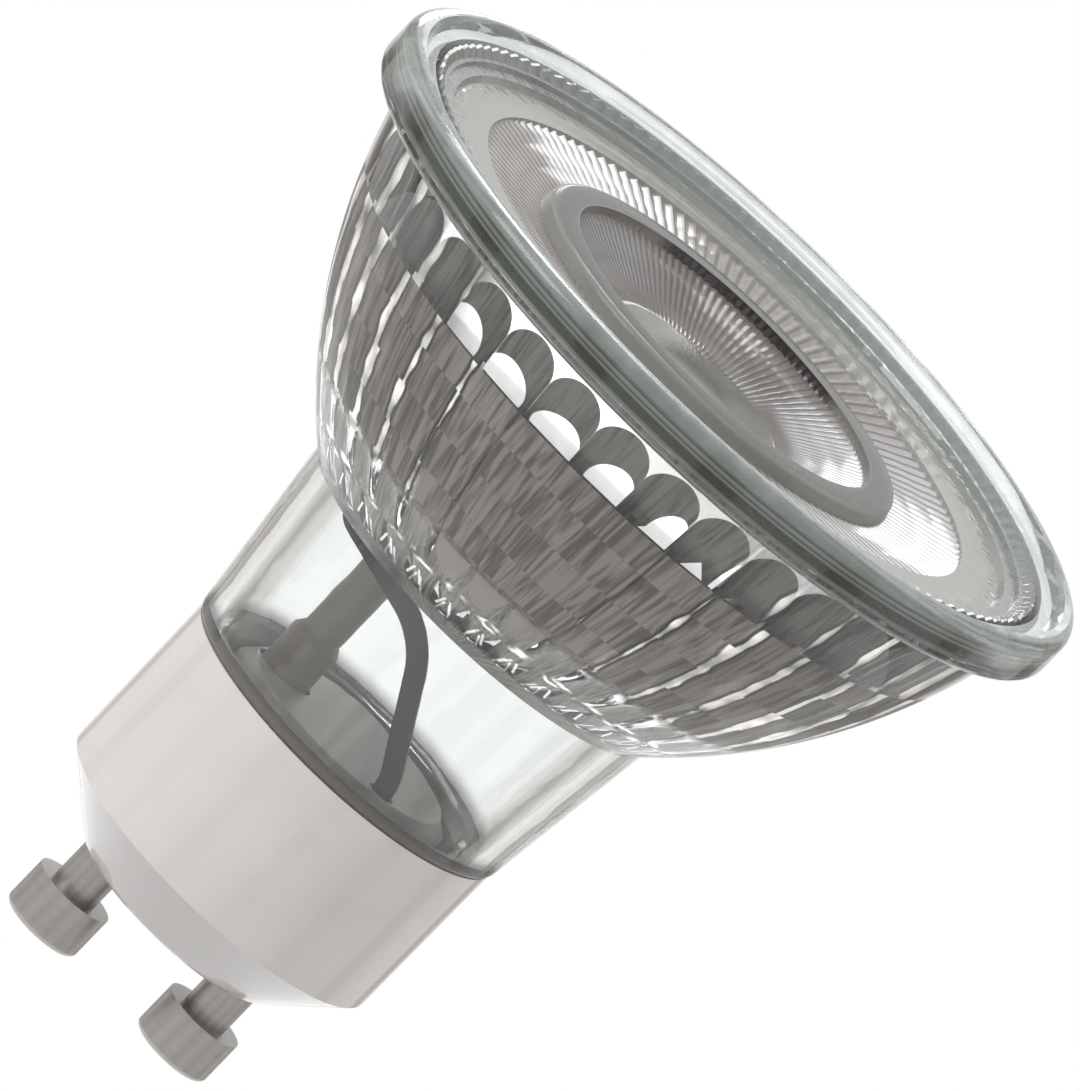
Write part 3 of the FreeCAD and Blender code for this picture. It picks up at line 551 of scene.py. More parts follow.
def top_row_spandrels(t, at):
    """Painted reflections: white gaps between the arches of the lobes."""
    high = t.ratio(t.math("MAXIMUM", t.less(at.up, LOBE_MIDDLE), 0.0), LOBE_TOP - LOBE_MIDDLE)
    spandrel = t.stepped(t.total(at.across_squared, t.product(high, high)), *SPANDREL_EDGE)
    spandrel = t.product(spandrel, t.under(at.up, SPANDREL_TOP))
    shown = t.product(t.stepped(at.side, *SPANDREL_START), t.stepped(at.side, *SPANDREL_END))
    gap_chance = t.chance(t.math("FLOOR", t.total(at.turn, 0.5)))
    stray = t.product(t.stepped(gap_chance, *SPANDREL_CHANCE), SPANDREL_LEVEL)
    return t.product(spandrel, t.math("MAXIMUM", shown, stray))


def foot_knob_glints(t, at):
    """Painted glints: short bright dashes on the ridge above the pyramids."""
    wobble = t.product(t.less(at.fine, 0.5), KNOB_WOBBLE * MM)
    distance = t.math("ABSOLUTE", t.total(t.less(at.height, FACET_HEIGHTS[0] * MM), wobble))
    knob = t.stepped(distance, KNOB_EDGE[0] * MM, KNOB_EDGE[1] * MM)
    knob = t.product(knob, t.stepped(at.across_squared, *KNOB_ENDS), t.stepped(at.fine, *KNOB_GRAIN))
    return t.product(knob, KNOB_LEVEL)


def foot_triangle_glints(t, at):
    """Painted glints: bright slanted lines on both sides of each pyramid."""
    foot = t.ratio(t.less(at.height, CUP_FLOOR_HEIGHT * MM), TRIANGLE_HEIGHT * MM)
    slope = t.total(t.product(foot, TRIANGLE_SLOPE), TRIANGLE_FOOT)
    slant = t.less(t.math("ABSOLUTE", at.across), slope)
    line = t.product(t.stepped(slant, *TRIANGLE_INNER), t.stepped(slant, *TRIANGLE_OUTER))
    return t.product(line, t.under(foot, 1.0), TRIANGLE_LEVEL)


def cell_shine(t, at):
    """All the painted reflections and glints that are white on the inside of the cup, as one share."""
    shine = t.math("MAXIMUM", top_row_windows(t, at), top_row_spandrels(t, at))
    shine = t.product(shine, t.over(at.up, WINDOW_UNDER))
    shine = t.math("MAXIMUM", shine, t.math("MAXIMUM", foot_knob_glints(t, at), foot_triangle_glints(t, at)))
    return t.product(shine, t.product(at.inside, t.over(at.height, CUP_FLOOR_HEIGHT * MM)))


def painted_cell_light(t, at, glass):
    """Painted refraction in the cells, painted shade lines round it and pale painted glints, broken into
    shards, between them at the lamp's sides.
    """
    second_row = FACET_HEIGHTS[1]
    cells = t.stepped(at.height, (second_row + REFRACTION_START[0]) * MM, (second_row + REFRACTION_START[1]) * MM)
    cells = t.product(at.inside, cells, t.under(at.height, (LEDGE_HEIGHT - REFRACTION_TOP_GAP) * MM))
    weave = t.product(t.less(at.fine, 0.5), BORDER_WEAVE)
    weave = t.product(weave, t.total(at.sideness, BORDER_WEAVE_LEAST))
    border = t.total(t.math("ABSOLUTE", at.across), weave, t.product(at.sideness, BORDER_GROWTH))
    own = t.product(t.less(at.cell_chance, 0.5), at.sideness, BORDER_SPREAD)
    border = t.total(border, own)
    veil = t.math("MAXIMUM", t.stepped(border, *VEIL_EDGE), t.product(t.over(at.up, 0.0), REFRACTION_LOBES))
    veil = t.product(veil, REFRACTION_LEVEL)
    sides = t.stepped(at.sideness, *SIDES_FADE)
    # painted shade lines round the cells
    outline = t.product(t.stepped(border, *OUTLINE_INNER), t.stepped(border, *OUTLINE_OUTER))
    outline = t.product(outline, t.product(sides, SHADE_LINE_LEVEL))
    shards = t.less(t.product(at.fine, SHARD_CONTRAST), SHARD_LOSS)
    glint = t.product(t.stepped(border, *GLINT_EDGE), sides, shards)
    glint = t.product(glint, t.stepped(at.up, *GLINT_TOP), GLINT_LEVEL)
    # painted glints, which glow
    pale = t.principled(
        Base_Color=(*GLINT_TONE, 1), Metallic=0.5, Roughness=0.3,
        Emission_Color=(*GLINT_WARMTH, 1), Emission_Strength=GLINT_GLOW
    )
    # painted refraction of the spreader, mixed into the clear glass
    refracted = t.mixed(t.product(veil, cells), glass, painted_refraction(t, at))
    refracted = t.mixed(t.product(outline, cells), refracted, t.paint(SHADE_LINE_TONE, 0.3))
    return t.mixed(t.product(glint, cells), refracted, pale)


def pale_fingers(t, at, under):
    """Painted light: short pale fingers that hang from the second row of cells, standing in for bright
    background seen through the clear glass.
    """
    start = (FACET_HEIGHTS[1] - FINGER_GAP) * MM
    down = t.ratio(t.less(start, at.height), FINGER_LENGTH * MM)
    finger = t.total(t.product(down, down), t.product(at.across_squared, FINGER_NARROWING))
    finger = t.product(t.stepped(finger, *FINGER_EDGE), t.over(down, 0.0), at.inside)
    shown = t.stepped(t.total(at.sideness, t.product(at.column_chance, FINGER_SPREAD)), *FINGER_FADE)
    return t.mixed(t.product(finger, shown, FINGER_LEVEL), under, t.paint(FINGER_TONE, 0.3))


def neck_looks(t, at, under):
    """A grey band at the cap's seam and faint painted reflection stripes at the sides of the neck."""
    foot = t.stepped(at.height, (CAP_HEIGHT + FOOT_ZONE[0]) * MM, (CAP_HEIGHT + FOOT_ZONE[1]) * MM)
    footed = t.mixed(t.product(foot, FOOT_LEVEL), under, t.paint(FOOT_TONE, 0.5))
    neck = t.stepped(at.height, (CAP_HEIGHT + STRIPE_START[0]) * MM, (CAP_HEIGHT + STRIPE_START[1]) * MM)
    neck = t.product(neck, t.under(at.height, CUP_FLOOR_HEIGHT * MM))
    # painted reflection stripes at the neck's sides
    sides = t.product(t.stepped(at.sideness, *STRIPE_SIDES), t.stepped(at.stripes, *STRIPE_EDGE))
    tone = t.ramp(at.stripes, CREAM, UMBER, *STRIPE_SPAN)
    cream = t.principled(Base_Color=tone, Roughness=0.5)
    return t.mixed(t.product(neck, sides, STRIPE_LEVEL), footed, cream)


def rim_looks(t, at, under):
    """Painted lines of shade and light on the wall round the lens, and haze on the crest."""
    recess = t.under(t.math("ABSOLUTE", t.less(at.radius, RECESS_RADIUS * MM)), RECESS_BAND * MM)
    lip = RIM_CREST_HEIGHT - RIM_LIP_DROP
    recess = t.product(recess, t.under(at.height, (lip - RECESS_MARGIN) * MM))
    recess = t.product(recess, t.over(at.height, (LEDGE_HEIGHT + RECESS_MARGIN) * MM))
    # painted lines of shade and light
    lines = t.principled(Base_Color=t.bands(at.height, RIM_LINES), Roughness=0.3)
    lined = t.mixed(t.product(recess, RIM_LINE_LEVEL), under, lines)
    crest = t.stepped(at.height, (RIM_SIDE_HEIGHT - HAZE_EDGE) * MM, (RIM_SIDE_HEIGHT + HAZE_EDGE) * MM)
    haze = t.product(crest, t.total(t.product(at.fine, HAZE_GRAIN), HAZE_LEAST))
    return t.mixed(haze, lined, t.paint(HAZE_TONE, 0.3))


def pressed_glass():
    """Clear soda glass with a faint green body colour, with painted refraction, painted shade, painted
    glints and glowing painted reflections on its cells.
    """
    made = material("pressed_glass")
    t = Tree(made)
    at = CellPlace(t)
    ripple = t.bump(t.noise(t.object_vector(), RIPPLES_PER_METRE, 2.0), RIPPLE_STRENGTH, RIPPLE_HEIGHT * MM)
    clear = t.principled(
        Base_Color=(*GLASS_TONE, 1), Roughness=0.0, IOR=GLASS_INDEX, Transmission_Weight=1.0, Normal=ripple
    )
    looks = painted_cell_light(t, at, clear)
    looks = pale_fingers(t, at, looks)
    looks = neck_looks(t, at, looks)
    looks = rim_looks(t, at, looks)
    # Painted reflections: white metal that also glows, mixed in wherever the cells' painted white shows
    bright = t.principled(
        Base_Color=(*WINDOW_TONE, 1), Metallic=1.0, Roughness=0.2,
        Emission_Color=(1, 1, 1, 1), Emission_Strength=WINDOW_GLOW
    )
    looks = t.mixed(cell_shine(t, at), looks, bright)
    absorb = t.node("ShaderNodeVolumeAbsorption")
    absorb.inputs["Color"].default_value = (*GLASS_GREEN, 1)
    absorb.inputs["Density"].default_value = GLASS_DENSITY
    t.output(looks.outputs[0], absorb.outputs[0])
    return made


# Lens plastic: tones by radius and by height, in millimetres, those by height being painted lines of shade
# and light on its side wall; painted shade, glare and shadow go on the ribs and well

FLAT_GREY = (0.095, 0.10, 0.09)
WALL_TONE = (0.43, 0.435, 0.415)
FLOOR_GREY = (0.26, 0.265, 0.245)
BORDER_GREY = (0.48, 0.49, 0.46)
RIB_GREY = (0.50, 0.468, 0.455)
SLOPE_GREY = (0.33, 0.31, 0.30)
EDGE_GREEN = (0.40, 0.43, 0.41)
LENS_ZONES = (
    (0.0, FLOOR_GREY), (5.8, FLOOR_GREY), (6.2, SLOPE_GREY), (10.7, SLOPE_GREY),
    (10.82, SLOPE_GREY), (10.9, SLOPE_GREY), (11.0, FLAT_GREY), (12.40, FLAT_GREY),
    (12.70, WALL_TONE), (12.84, WALL_TONE), (12.95, WALL_TONE), (13.05, RIB_GREY),
    (17.6, RIB_GREY), (17.8, BORDER_GREY), (20.4, BORDER_GREY), (20.8, EDGE_GREEN), (24.0, EDGE_GREEN),
)
# Painted shade and painted highlights: dark, green and pale lines on the lens's side wall
WALL_START = 22.33
WALL_GREEN = (0.045, 0.06, 0.04)
WALL_GREY = (0.27, 0.29, 0.26)
WALL_PALE = (0.45, 0.47, 0.44)
WALL_DARK = (0.10, 0.11, 0.10)
WALL_DUSK = (0.12, 0.13, 0.12)
LENS_WALL = (
    (44.4, WALL_GREY), (44.7, WALL_GREY), (44.85, WALL_GREEN), (45.25, WALL_GREEN),
    (45.4, WALL_GREY), (45.5, WALL_PALE), (45.6, WALL_GREY), (45.7, WALL_DARK),
    (45.8, WALL_GREY), (45.95, WALL_DUSK), (46.05, WALL_GREY), (46.4, WALL_GREY),
)
RIB_COUNT = 120
RIBBED_ZONE = (13.0, 13.1, 17.5, 17.7)
SLOPED_ZONE = (6.6, 7.6, 10.7, 10.9)
FLAT_ZONE = (10.9, 11.0, 12.9, 13.1)
ROUNDED_ZONE = (12.4, 12.55, 12.9, 13.1)
# Painted shade in the grooves between the ribs
GROOVE_SHADE = (0.16, 0.155, 0.15)
GROOVE_EDGE = (0.22, 0.12)
GROOVE_SHADE_LEVEL = 0.6
LENS_GLOSS = 0.8
GROOVE_GLOSS_LOSS = 0.65
FLAT_GLOSS_LOSS = 0.45
ROUNDED_GLOSS_LOSS = 0.35
FACING_GLOSS_LOSS = 0.5
FACING_FADE = (0.6, 0.3)
# Painted highlights: white glare on the ribs at the right and, fainter, at the left
GLARE_WHITE = (0.97, 0.97, 0.98)
GLARE_RIGHT = (0.45, 0.85)
GLARE_RIGHT_LEVEL = 0.85
GLARE_LEFT = (-0.5, -0.9)
GLARE_LEFT_LEVEL = 0.25
GLARE_GROOVE_LOSS = 0.75
# Painted shadow: a dark crescent at the well's step, near and far
STEP_SHADOW_BROWN = (0.05, 0.04, 0.038)
STEP_ZONE = (10.75, 10.82, 10.9, 10.92)
STEP_ENDS = (8.2, 9.4)
CRINKLES_PER_METRE = 900
CRINKLE_START = 18.7
CRINKLE_FULL = 20.0
CRINKLE_STRENGTH = 0.4
CRINKLE_HEIGHT = 0.3


def lens_plastic():
    """Clear moulded plastic: zones by radius, painted shade in the grooves between the ribs, painted glare
    on the right and left, and a painted shadow at the well's step.
    """
    made = material("lens_plastic")
    t = Tree(made)
    x, y, height = t.place()
    radius = t.round_distance(x, y)
    sideways = t.ratio(x, radius)
    crinkle = t.noise(t.object_vector(), CRINKLES_PER_METRE, 2.0)
    crinkle = t.product(crinkle, t.stepped(radius, CRINKLE_START * MM, CRINKLE_FULL * MM))
    grain = t.bump(crinkle, CRINKLE_STRENGTH, CRINKLE_HEIGHT * MM)
    tone = t.tinted(t.over(radius, WALL_START * MM), t.bands(radius, LENS_ZONES), t.bands(height, LENS_WALL))

    turn = t.math("FRACT", t.product(t.math("ARCTAN2", y, x), RIB_COUNT / (2 * math.pi)))
    sloped = t.zone(radius, *SLOPED_ZONE)
    ribs = t.total(t.zone(radius, *RIBBED_ZONE), sloped)
    # painted shade in the grooves
    groove = t.product(t.stepped(t.math("ABSOLUTE", t.less(turn, 0.5)), *GROOVE_EDGE), ribs)
    tone = t.tinted(t.product(groove, GROOVE_SHADE_LEVEL), tone, GROOVE_SHADE)

    # painted glare highlights
    glare = t.product(t.stepped(sideways, *GLARE_RIGHT), GLARE_RIGHT_LEVEL)
    glare = t.total(glare, t.product(t.stepped(sideways, *GLARE_LEFT), GLARE_LEFT_LEVEL))
    glare = t.product(ribs, glare, t.less(1.0, t.product(groove, GLARE_GROOVE_LOSS)))
    tone = t.tinted(glare, tone, GLARE_WHITE)

    # painted shadow at the step
    near_and_far = t.stepped(t.math("ABSOLUTE", y), STEP_ENDS[0] * MM, STEP_ENDS[1] * MM)
    crescent = t.product(t.zone(radius, *STEP_ZONE), near_and_far)
    tone = t.tinted(crescent, tone, STEP_SHADOW_BROWN)

    gloss = t.less(LENS_GLOSS, t.product(groove, GROOVE_GLOSS_LOSS))
    gloss = t.less(gloss, t.product(t.zone(radius, *FLAT_ZONE), FLAT_GLOSS_LOSS))
    gloss = t.less(gloss, t.product(t.zone(radius, *ROUNDED_ZONE), ROUNDED_GLOSS_LOSS))
    facing = t.product(sloped, t.stepped(t.math("ABSOLUTE", sideways), *FACING_FADE))
    gloss = t.math("MAXIMUM", t.less(gloss, t.product(facing, FACING_GLOSS_LOSS)), 0.0)
    body = t.principled(
        Base_Color=tone, Roughness=0.12, IOR=1.49, Transmission_Weight=0.45,
        Specular_IOR_Level=gloss, Normal=grain
    )
    t.output(body.outputs[0])
    return made


SPREADER_TURN_SCALE = 17.0
SPREADER_ROW_SHIFT = 0.23


def streaked_metal(name, low, high, roughness):
    """Spun metal with streaks that run up the wall and shift from row to row of the glass."""
    made = material(name)
    t = Tree(made)
    x, y, height = t.place()
    around = t.product(t.math("ARCTAN2", y, x), SPREADER_TURN_SCALE)
    shift = t.product(row_number(t, height), SPREADER_ROW_SHIFT)
    streaks = t.noise(t.vector(around, t.product(height, STREAKS_PER_METRE), shift), 3.0, 3.0, 0.6, 1.6)
    body = t.principled(Base_Color=t.ramp(streaks, low, high, 0.36, 0.66), Metallic=0.6, Roughness=roughness)
    t.output(body.outputs[0])
    return made


MOTTLES_PER_METRE = 180
MOTTLE_SPAN = (0.97, 1.02)
SKIN_PER_METRE = 2200
SKIN_HEIGHT = 0.1
BRUSHING_PER_METRE = 330
BRUSHING_STRETCH = (1, 0.06, 1)
TOOL_RING_STRETCH = (60, 60, 900)
TOOL_RING_SHADE = 0.93
TOOL_RING_HEIGHT = 0.05


def moulding(name, colour, roughness=0.35, grain=0.03, coat=0.0):
    """Moulded plastic: faint mottling and a fine skin texture."""
    made = material(name)
    t = Tree(made)
    mottle = t.noise(t.object_vector(), MOTTLES_PER_METRE, 3.0)
    low, high = [tuple(min(1, c * level) for c in colour) for level in MOTTLE_SPAN]
    shade = t.ramp(mottle, low, high)
    skin = t.bump(t.noise(t.object_vector(), SKIN_PER_METRE, 2.0), grain, SKIN_HEIGHT * MM)
    body = t.principled(Base_Color=shade, Roughness=roughness, Coat_Weight=coat, Normal=skin)
    t.output(body.outputs[0])
    return made


def brushed(name, low, high, roughness):
    """Sheet with soft streaks drawn from front to back."""
    made = material(name)
    t = Tree(made)
    streaks = t.noise(t.object_vector(BRUSHING_STRETCH), BRUSHING_PER_METRE, 2.0, 0.5, 0.3)
    body = t.principled(Base_Color=t.ramp(streaks, low, high, 0.35, 0.65), Roughness=roughness)
    t.output(body.outputs[0])
    return made


def plated(name, colour, roughness=0.32):
    """Turned and plated metal with faint tool rings."""
    made = material(name)
    t = Tree(made)
    rings = t.noise(t.object_vector(TOOL_RING_STRETCH), 3.0, 3.0)
    shade = t.ramp(rings, tuple(c * TOOL_RING_SHADE for c in colour), colour)
    grooved = t.bump(rings, 0.08, TOOL_RING_HEIGHT * MM)
    body = t.principled(Base_Color=shade, Metallic=1.0, Roughness=roughness, Normal=grooved)
    t.output(body.outputs[0])
    return made


GLASS = pressed_glass()
LENS = lens_plastic()
SPREADER = streaked_metal("spreader_metal", (0.045, 0.038, 0.033), (0.30, 0.27, 0.245), 0.42)
CAP = moulding("white_moulding", (0.81, 0.78, 0.765), 0.33, 0.03, 0.8)
NICKEL = plated("nickel", (0.39, 0.37, 0.355), 0.36)
CEMENT = moulding("cement", (0.70, 0.69, 0.66), 0.8, 0.2)
PAD = moulding("pad", (0.55, 0.55, 0.58), 0.7)
BOARD_FACE = moulding("board_face", (0.80, 0.80, 0.78), 0.35)
LAMINATE = moulding("board_laminate", (0.10, 0.26, 0.13), 0.4)
CERAMIC = moulding("ceramic", (0.85, 0.84, 0.81), 0.5)
PHOSPHOR = moulding("phosphor", (0.86, 0.70, 0.22), 0.4)
SCREW = plated("screw_steel", (0.14, 0.135, 0.13), 0.4)
EPOXY = moulding("black_epoxy", (0.05, 0.05, 0.055), 0.5, 0.15)
SOLDER = plated("solder", (0.70, 0.70, 0.71), 0.18)
SEAL = moulding("seal", (0.66, 0.67, 0.65), 0.4)
JACKET = moulding("lead_jacket", (0.225, 0.205, 0.19), 0.4, 0.0)
SLEEVE = moulding("sleeve", (0.20, 0.175, 0.16), 0.42, 0.0)
STRIP = brushed("strip_metal", (0.012, 0.011, 0.010), (0.030, 0.027, 0.025), 0.5)
COVER = brushed("cover_grey", (0.20, 0.18, 0.17), (0.44, 0.41, 0.39), 0.45)
CAN = plated("can", (0.62, 0.62, 0.63), 0.3)
FERRITE = moulding("ferrite", (0.10, 0.10, 0.10), 0.6)
COPPER = plated("copper", (0.62, 0.33, 0.17), 0.3)
RESISTOR = moulding("resistor_body", (0.40, 0.52, 0.48), 0.4)

NODE_FINISH = {
    "base_cap": CAP, "contact_pin_live": NICKEL, "contact_pin_neutral": NICKEL, "neck_cement": CEMENT,
    "heat_spreader": SPREADER, "thermal_pad": PAD, "led_board": BOARD_FACE, "led_package": CERAMIC,
    "led_phosphor": PHOSPHOR, "board_screws": SCREW, "led_chip_resistors": EPOXY,
    "led_solder_live": SOLDER, "led_solder_neutral": SOLDER, "lens_seal": SEAL, "driver_board": LAMINATE,
    "pin_solder_live": SOLDER, "pin_solder_neutral": SOLDER, "strip_solder": SOLDER, "live_lead": JACKET,
    "live_lead_sleeve": SLEEVE, "neutral_strip": STRIP, "insulating_cover": COVER,
    "bulk_capacitor": CAN, "inductor_core": FERRITE, "inductor_winding": COPPER,
    "fusible_resistor": RESISTOR, "bridge_rectifier": EPOXY, "driver_chip": EPOXY,
}
for node_name, finish in NODE_FINISH.items():
    nodes[node_name].data.materials.clear()
    nodes[node_name].data.materials.append(finish)


# Glass body

def cup_outer_radius(height):
    """Outer radius of the cup, on the arc from the neck to the rim."""
    low = np.array([NECK_TOP_RADIUS, NECK_TOP_HEIGHT])
    high = np.array([CUP_TOP_RADIUS, RIM_UNDER_HEIGHT])
    chord = high - low
    length = np.linalg.norm(chord)
    side = np.array([-chord[1], chord[0]]) / length
    centre = (low + high) / 2 + side * math.sqrt(CUP_BULGE_RADIUS ** 2 - length ** 2 / 4)
    return centre[0] + math.sqrt(CUP_BULGE_RADIUS ** 2 - (height - centre[1]) ** 2)


CELL_STEPS = 12
COLUMN_STEPS = FACET_COLUMNS * CELL_STEPS
CELL_BULGE = 0.095
CELL_FLATNESS = 0.45
PYRAMID_SLOPE = 0.9
PYRAMID_HEIGHT = 1.6
LOBE_START = 0.25
LOBE_RISE = 0.6
LOBE_HEIGHT = 0.8


class Relief(Tree):
    """Short words for a geometry tree that raises a relief on a skin."""

    def __init__(self, name):
        self.tree = bpy.data.node_groups.new(name, "GeometryNodeTree")
        self.tree.is_modifier = True
        sockets = self.tree.interface
        sockets.new_socket("Geometry", in_out="INPUT", socket_type="NodeSocketGeometry")
        sockets.new_socket("Geometry", in_out="OUTPUT", socket_type="NodeSocketGeometry")
        self.source = self.node("NodeGroupInput")
        self.result = self.node("NodeGroupOutput")
        self.settings = {}

    def number(self, name, value):
        """A named size of the tree."""
        socket = self.tree.interface.new_socket(name, in_out="INPUT", socket_type="NodeSocketFloat")
        self.settings[socket.identifier] = value
        return self.source.outputs[name]

    def attribute(self, name, kind="FLOAT"):
        made = self.node("GeometryNodeInputNamedAttribute", data_type=kind)
        made.inputs["Name"].default_value = name
        return made.outputs["Attribute"]

    def scaled(self, vector, factor):
        made = self.node("ShaderNodeVectorMath", operation="SCALE")
        self.link(vector, made.inputs[0])
        self.link(factor, made.inputs["Scale"])
        return made.outputs[0]

    def raised(self, offset):
        """Moves the skin's points by an offset."""
        made = self.node("GeometryNodeSetPosition")
        self.link(self.source.outputs["Geometry"], made.inputs["Geometry"])
        self.link(offset, made.inputs["Offset"])
        return made.outputs["Geometry"]

    def finished(self, geometry, finish):
        realized = self.node("GeometryNodeRealizeInstances")
        painted = self.node("GeometryNodeSetMaterial")
        painted.inputs["Material"].default_value = finish
        self.link(geometry, realized.inputs["Geometry"])
        self.link(realized.outputs["Geometry"], painted.inputs["Geometry"])
        self.link(painted.outputs["Geometry"], self.result.inputs["Geometry"])

    def applied(self, thing, sharp_degrees):
        """Runs the tree on an object and leaves it with the plain result."""
        modifier = thing.modifiers.new("relief", "NODES")
        modifier.node_group = self.tree
        for identifier, value in self.settings.items():
            modifier[identifier] = value
        graph = bpy.context.evaluated_depsgraph_get()
        plain = bpy.data.meshes.new_from_object(thing.evaluated_get(graph), depsgraph=graph)
        thing.modifiers.remove(modifier)
        plain.name = thing.data.name
        thing.data = plain
        plain.set_sharp_from_angle(angle=math.radians(sharp_degrees))


def stored(thing, name, values, kind="FLOAT"):
    """Keeps one value for each point of a mesh."""
    made = thing.data.attributes.new(name, kind, "POINT")
    field = "vector" if kind == "FLOAT_VECTOR" else "value"
    made.data.foreach_set(field, np.asarray(values, np.float32).ravel())


def cell_angles():
    """Angles of the wall's columns of points, turned by half a cell."""
    return (np.arange(COLUMN_STEPS) + CELL_STEPS / 2) * 2 * math.pi / COLUMN_STEPS


def facet_rings():
    """Flat facets of the inner wall, ring by ring, and where each point lies in its cell."""
    across = np.arange(COLUMN_STEPS) % CELL_STEPS / CELL_STEPS * 2 - 1
    angles = cell_angles()
    half_cell = math.pi / FACET_COLUMNS
    edges = [(FACET_FLOOR_RADIUS, CUP_FLOOR_HEIGHT)]
    edges += [(cup_outer_radius(h) - CUP_WALL, h) for h in FACET_HEIGHTS]
    edges += [(LEDGE_RADIUS, LEDGE_HEIGHT)]
    rings = []
    for row, ((low_r, low_z), (high_r, high_z)) in enumerate(zip(edges, edges[1:])):
        run = math.hypot(high_r - low_r, high_z - low_z)
        inward, lift = -(high_z - low_z) / run, (high_r - low_r) / run
        for step in range(CELL_STEPS):
            share = step / CELL_STEPS
            radius = low_r + (high_r - low_r) * share
            lifts = np.full(COLUMN_STEPS, lift)
            push = np.stack([inward * np.cos(angles), inward * np.sin(angles), lifts], 1)
            rings.append({
                "radius": radius * math.cos(half_cell) / np.cos(across * half_cell),
                "height": np.full(COLUMN_STEPS, low_z + (high_z - low_z) * share),
                "across": across,
                "up": np.full(COLUMN_STEPS, share),
                "width": np.full(COLUMN_STEPS, 2 * half_cell * radius * MM),
                "row": np.full(COLUMN_STEPS, float(row)),
                "push": push,
            })
    return rings


def plain_ring(radius, height):
    """A ring of the skin without cells."""
    blank = np.zeros(COLUMN_STEPS)
    return {
        "radius": np.full(COLUMN_STEPS, radius), "height": np.full(COLUMN_STEPS, height), "across": blank,
        "up": blank, "width": blank, "row": blank, "push": np.zeros((COLUMN_STEPS, 3)),
    }


def cell_relief():
    """Pillows in the cells, pyramids in the lowest row and arched lobes in the highest one."""
    t = Relief("cell_relief")
    bulge = t.number("Bulge", CELL_BULGE)
    flatness = t.number("Flatness", CELL_FLATNESS)
    pyramid_height = t.number("Pyramid height", PYRAMID_HEIGHT)
    lobe_height = t.number("Lobe height", LOBE_HEIGHT)
    across, up = t.attribute("across"), t.attribute("up")
    width, row = t.attribute("width"), t.attribute("row")
    arched = t.less(1.0, t.product(across, across))
    from_middle = t.less(t.product(up, 2.0), 1.0)
    pillow = t.product(arched, t.less(1.0, t.product(flatness, t.product(from_middle, from_middle))))
    slope = t.less(t.less(1.0, t.math("ABSOLUTE", across)), t.product(up, PYRAMID_SLOPE))
    pyramid = t.product(t.math("MAXIMUM", slope, 0.0), pyramid_height)
    arch = t.ratio(t.math("MAXIMUM", t.less(up, LOBE_START), 0.0), LOBE_RISE)
    dome = t.less(arched, t.product(arch, arch))
    lobe = t.product(t.math("MAXIMUM", dome, 0.0), lobe_height)
    lowest = t.under(row, 0.5)
    highest = t.over(row, len(FACET_HEIGHTS) - 0.5)
    middle = t.less(1.0, t.total(lowest, highest))
    crown = t.total(t.product(middle, pillow), t.product(lowest, pyramid), t.product(highest, lobe))
    height = t.product(crown, width, bulge)
    t.finished(t.raised(t.scaled(t.attribute("push", "FLOAT_VECTOR"), height)), GLASS)
    return t


def glass_body():
    """The whole glass as one closed skin: bore, cells, recess, rim, cup and neck."""
    inner = path(
        (STUB_RADIUS - STUB_WALL, CAP_HEIGHT - STUB_DEPTH),
        (STUB_RADIUS - STUB_WALL, CAP_HEIGHT - THROAT_START_DROP, -THROAT_ARC),
        (NECK_RADIUS - NECK_WALL, CAP_HEIGHT + NECK_THROAT_RISE),
        (NECK_TOP_RADIUS - NECK_WALL, CUP_FLOOR_HEIGHT),
    )
    outer = path(
        (LEDGE_RADIUS, LEDGE_HEIGHT),
        (RECESS_RADIUS, LEDGE_HEIGHT),
        (RECESS_RADIUS, RIM_CREST_HEIGHT - RIM_LIP_DROP),
        (RIM_LIP_RADIUS, RIM_CREST_HEIGHT - RIM_LIP_DROP, -RIM_LIP_ARC, 5),
        (RIM_CREST_RADIUS - RIM_CREST_WIDTH, RIM_CREST_HEIGHT),
        (RIM_CREST_RADIUS, RIM_CREST_HEIGHT, -(RIM_CREST_HEIGHT - RIM_SIDE_HEIGHT), 7),
        (RIM_RADIUS, RIM_SIDE_HEIGHT),
        (RIM_RADIUS, RIM_UNDER_HEIGHT + RIM_EDGE, -RIM_EDGE, 5),
        (RIM_RADIUS - RIM_EDGE, RIM_UNDER_HEIGHT),
        (CUP_TOP_RADIUS, RIM_UNDER_HEIGHT, -CUP_BULGE_RADIUS, 28),
        (NECK_TOP_RADIUS, NECK_TOP_HEIGHT),
        (NECK_RADIUS, CAP_HEIGHT + NECK_BEAD, -NECK_BEAD, 5),
        (NECK_RADIUS - NECK_BEAD, CAP_HEIGHT),
        (STUB_RADIUS, CAP_HEIGHT),
        (STUB_RADIUS, CAP_HEIGHT - STUB_DEPTH),
    )
    rings = [plain_ring(*p) for p in inner] + facet_rings() + [plain_ring(*p) for p in outer]
    radii = np.array([ring["radius"] for ring in rings])
    heights = np.array([ring["height"] for ring in rings])
    body = rings_mesh("glass_shell", radii, heights, cell_angles(), GLASS, True)
    for name in ("across", "up", "width", "row"):
        stored(body, name, np.array([ring[name] for ring in rings]))
    stored(body, "push", np.array([ring["push"] for ring in rings]), "FLOAT_VECTOR")
    body.data.flip_normals()
    cell_relief().applied(body, CELL_CREASE)
    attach(body, "root")
    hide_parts("glass_body")


glass_body()


# Front lens

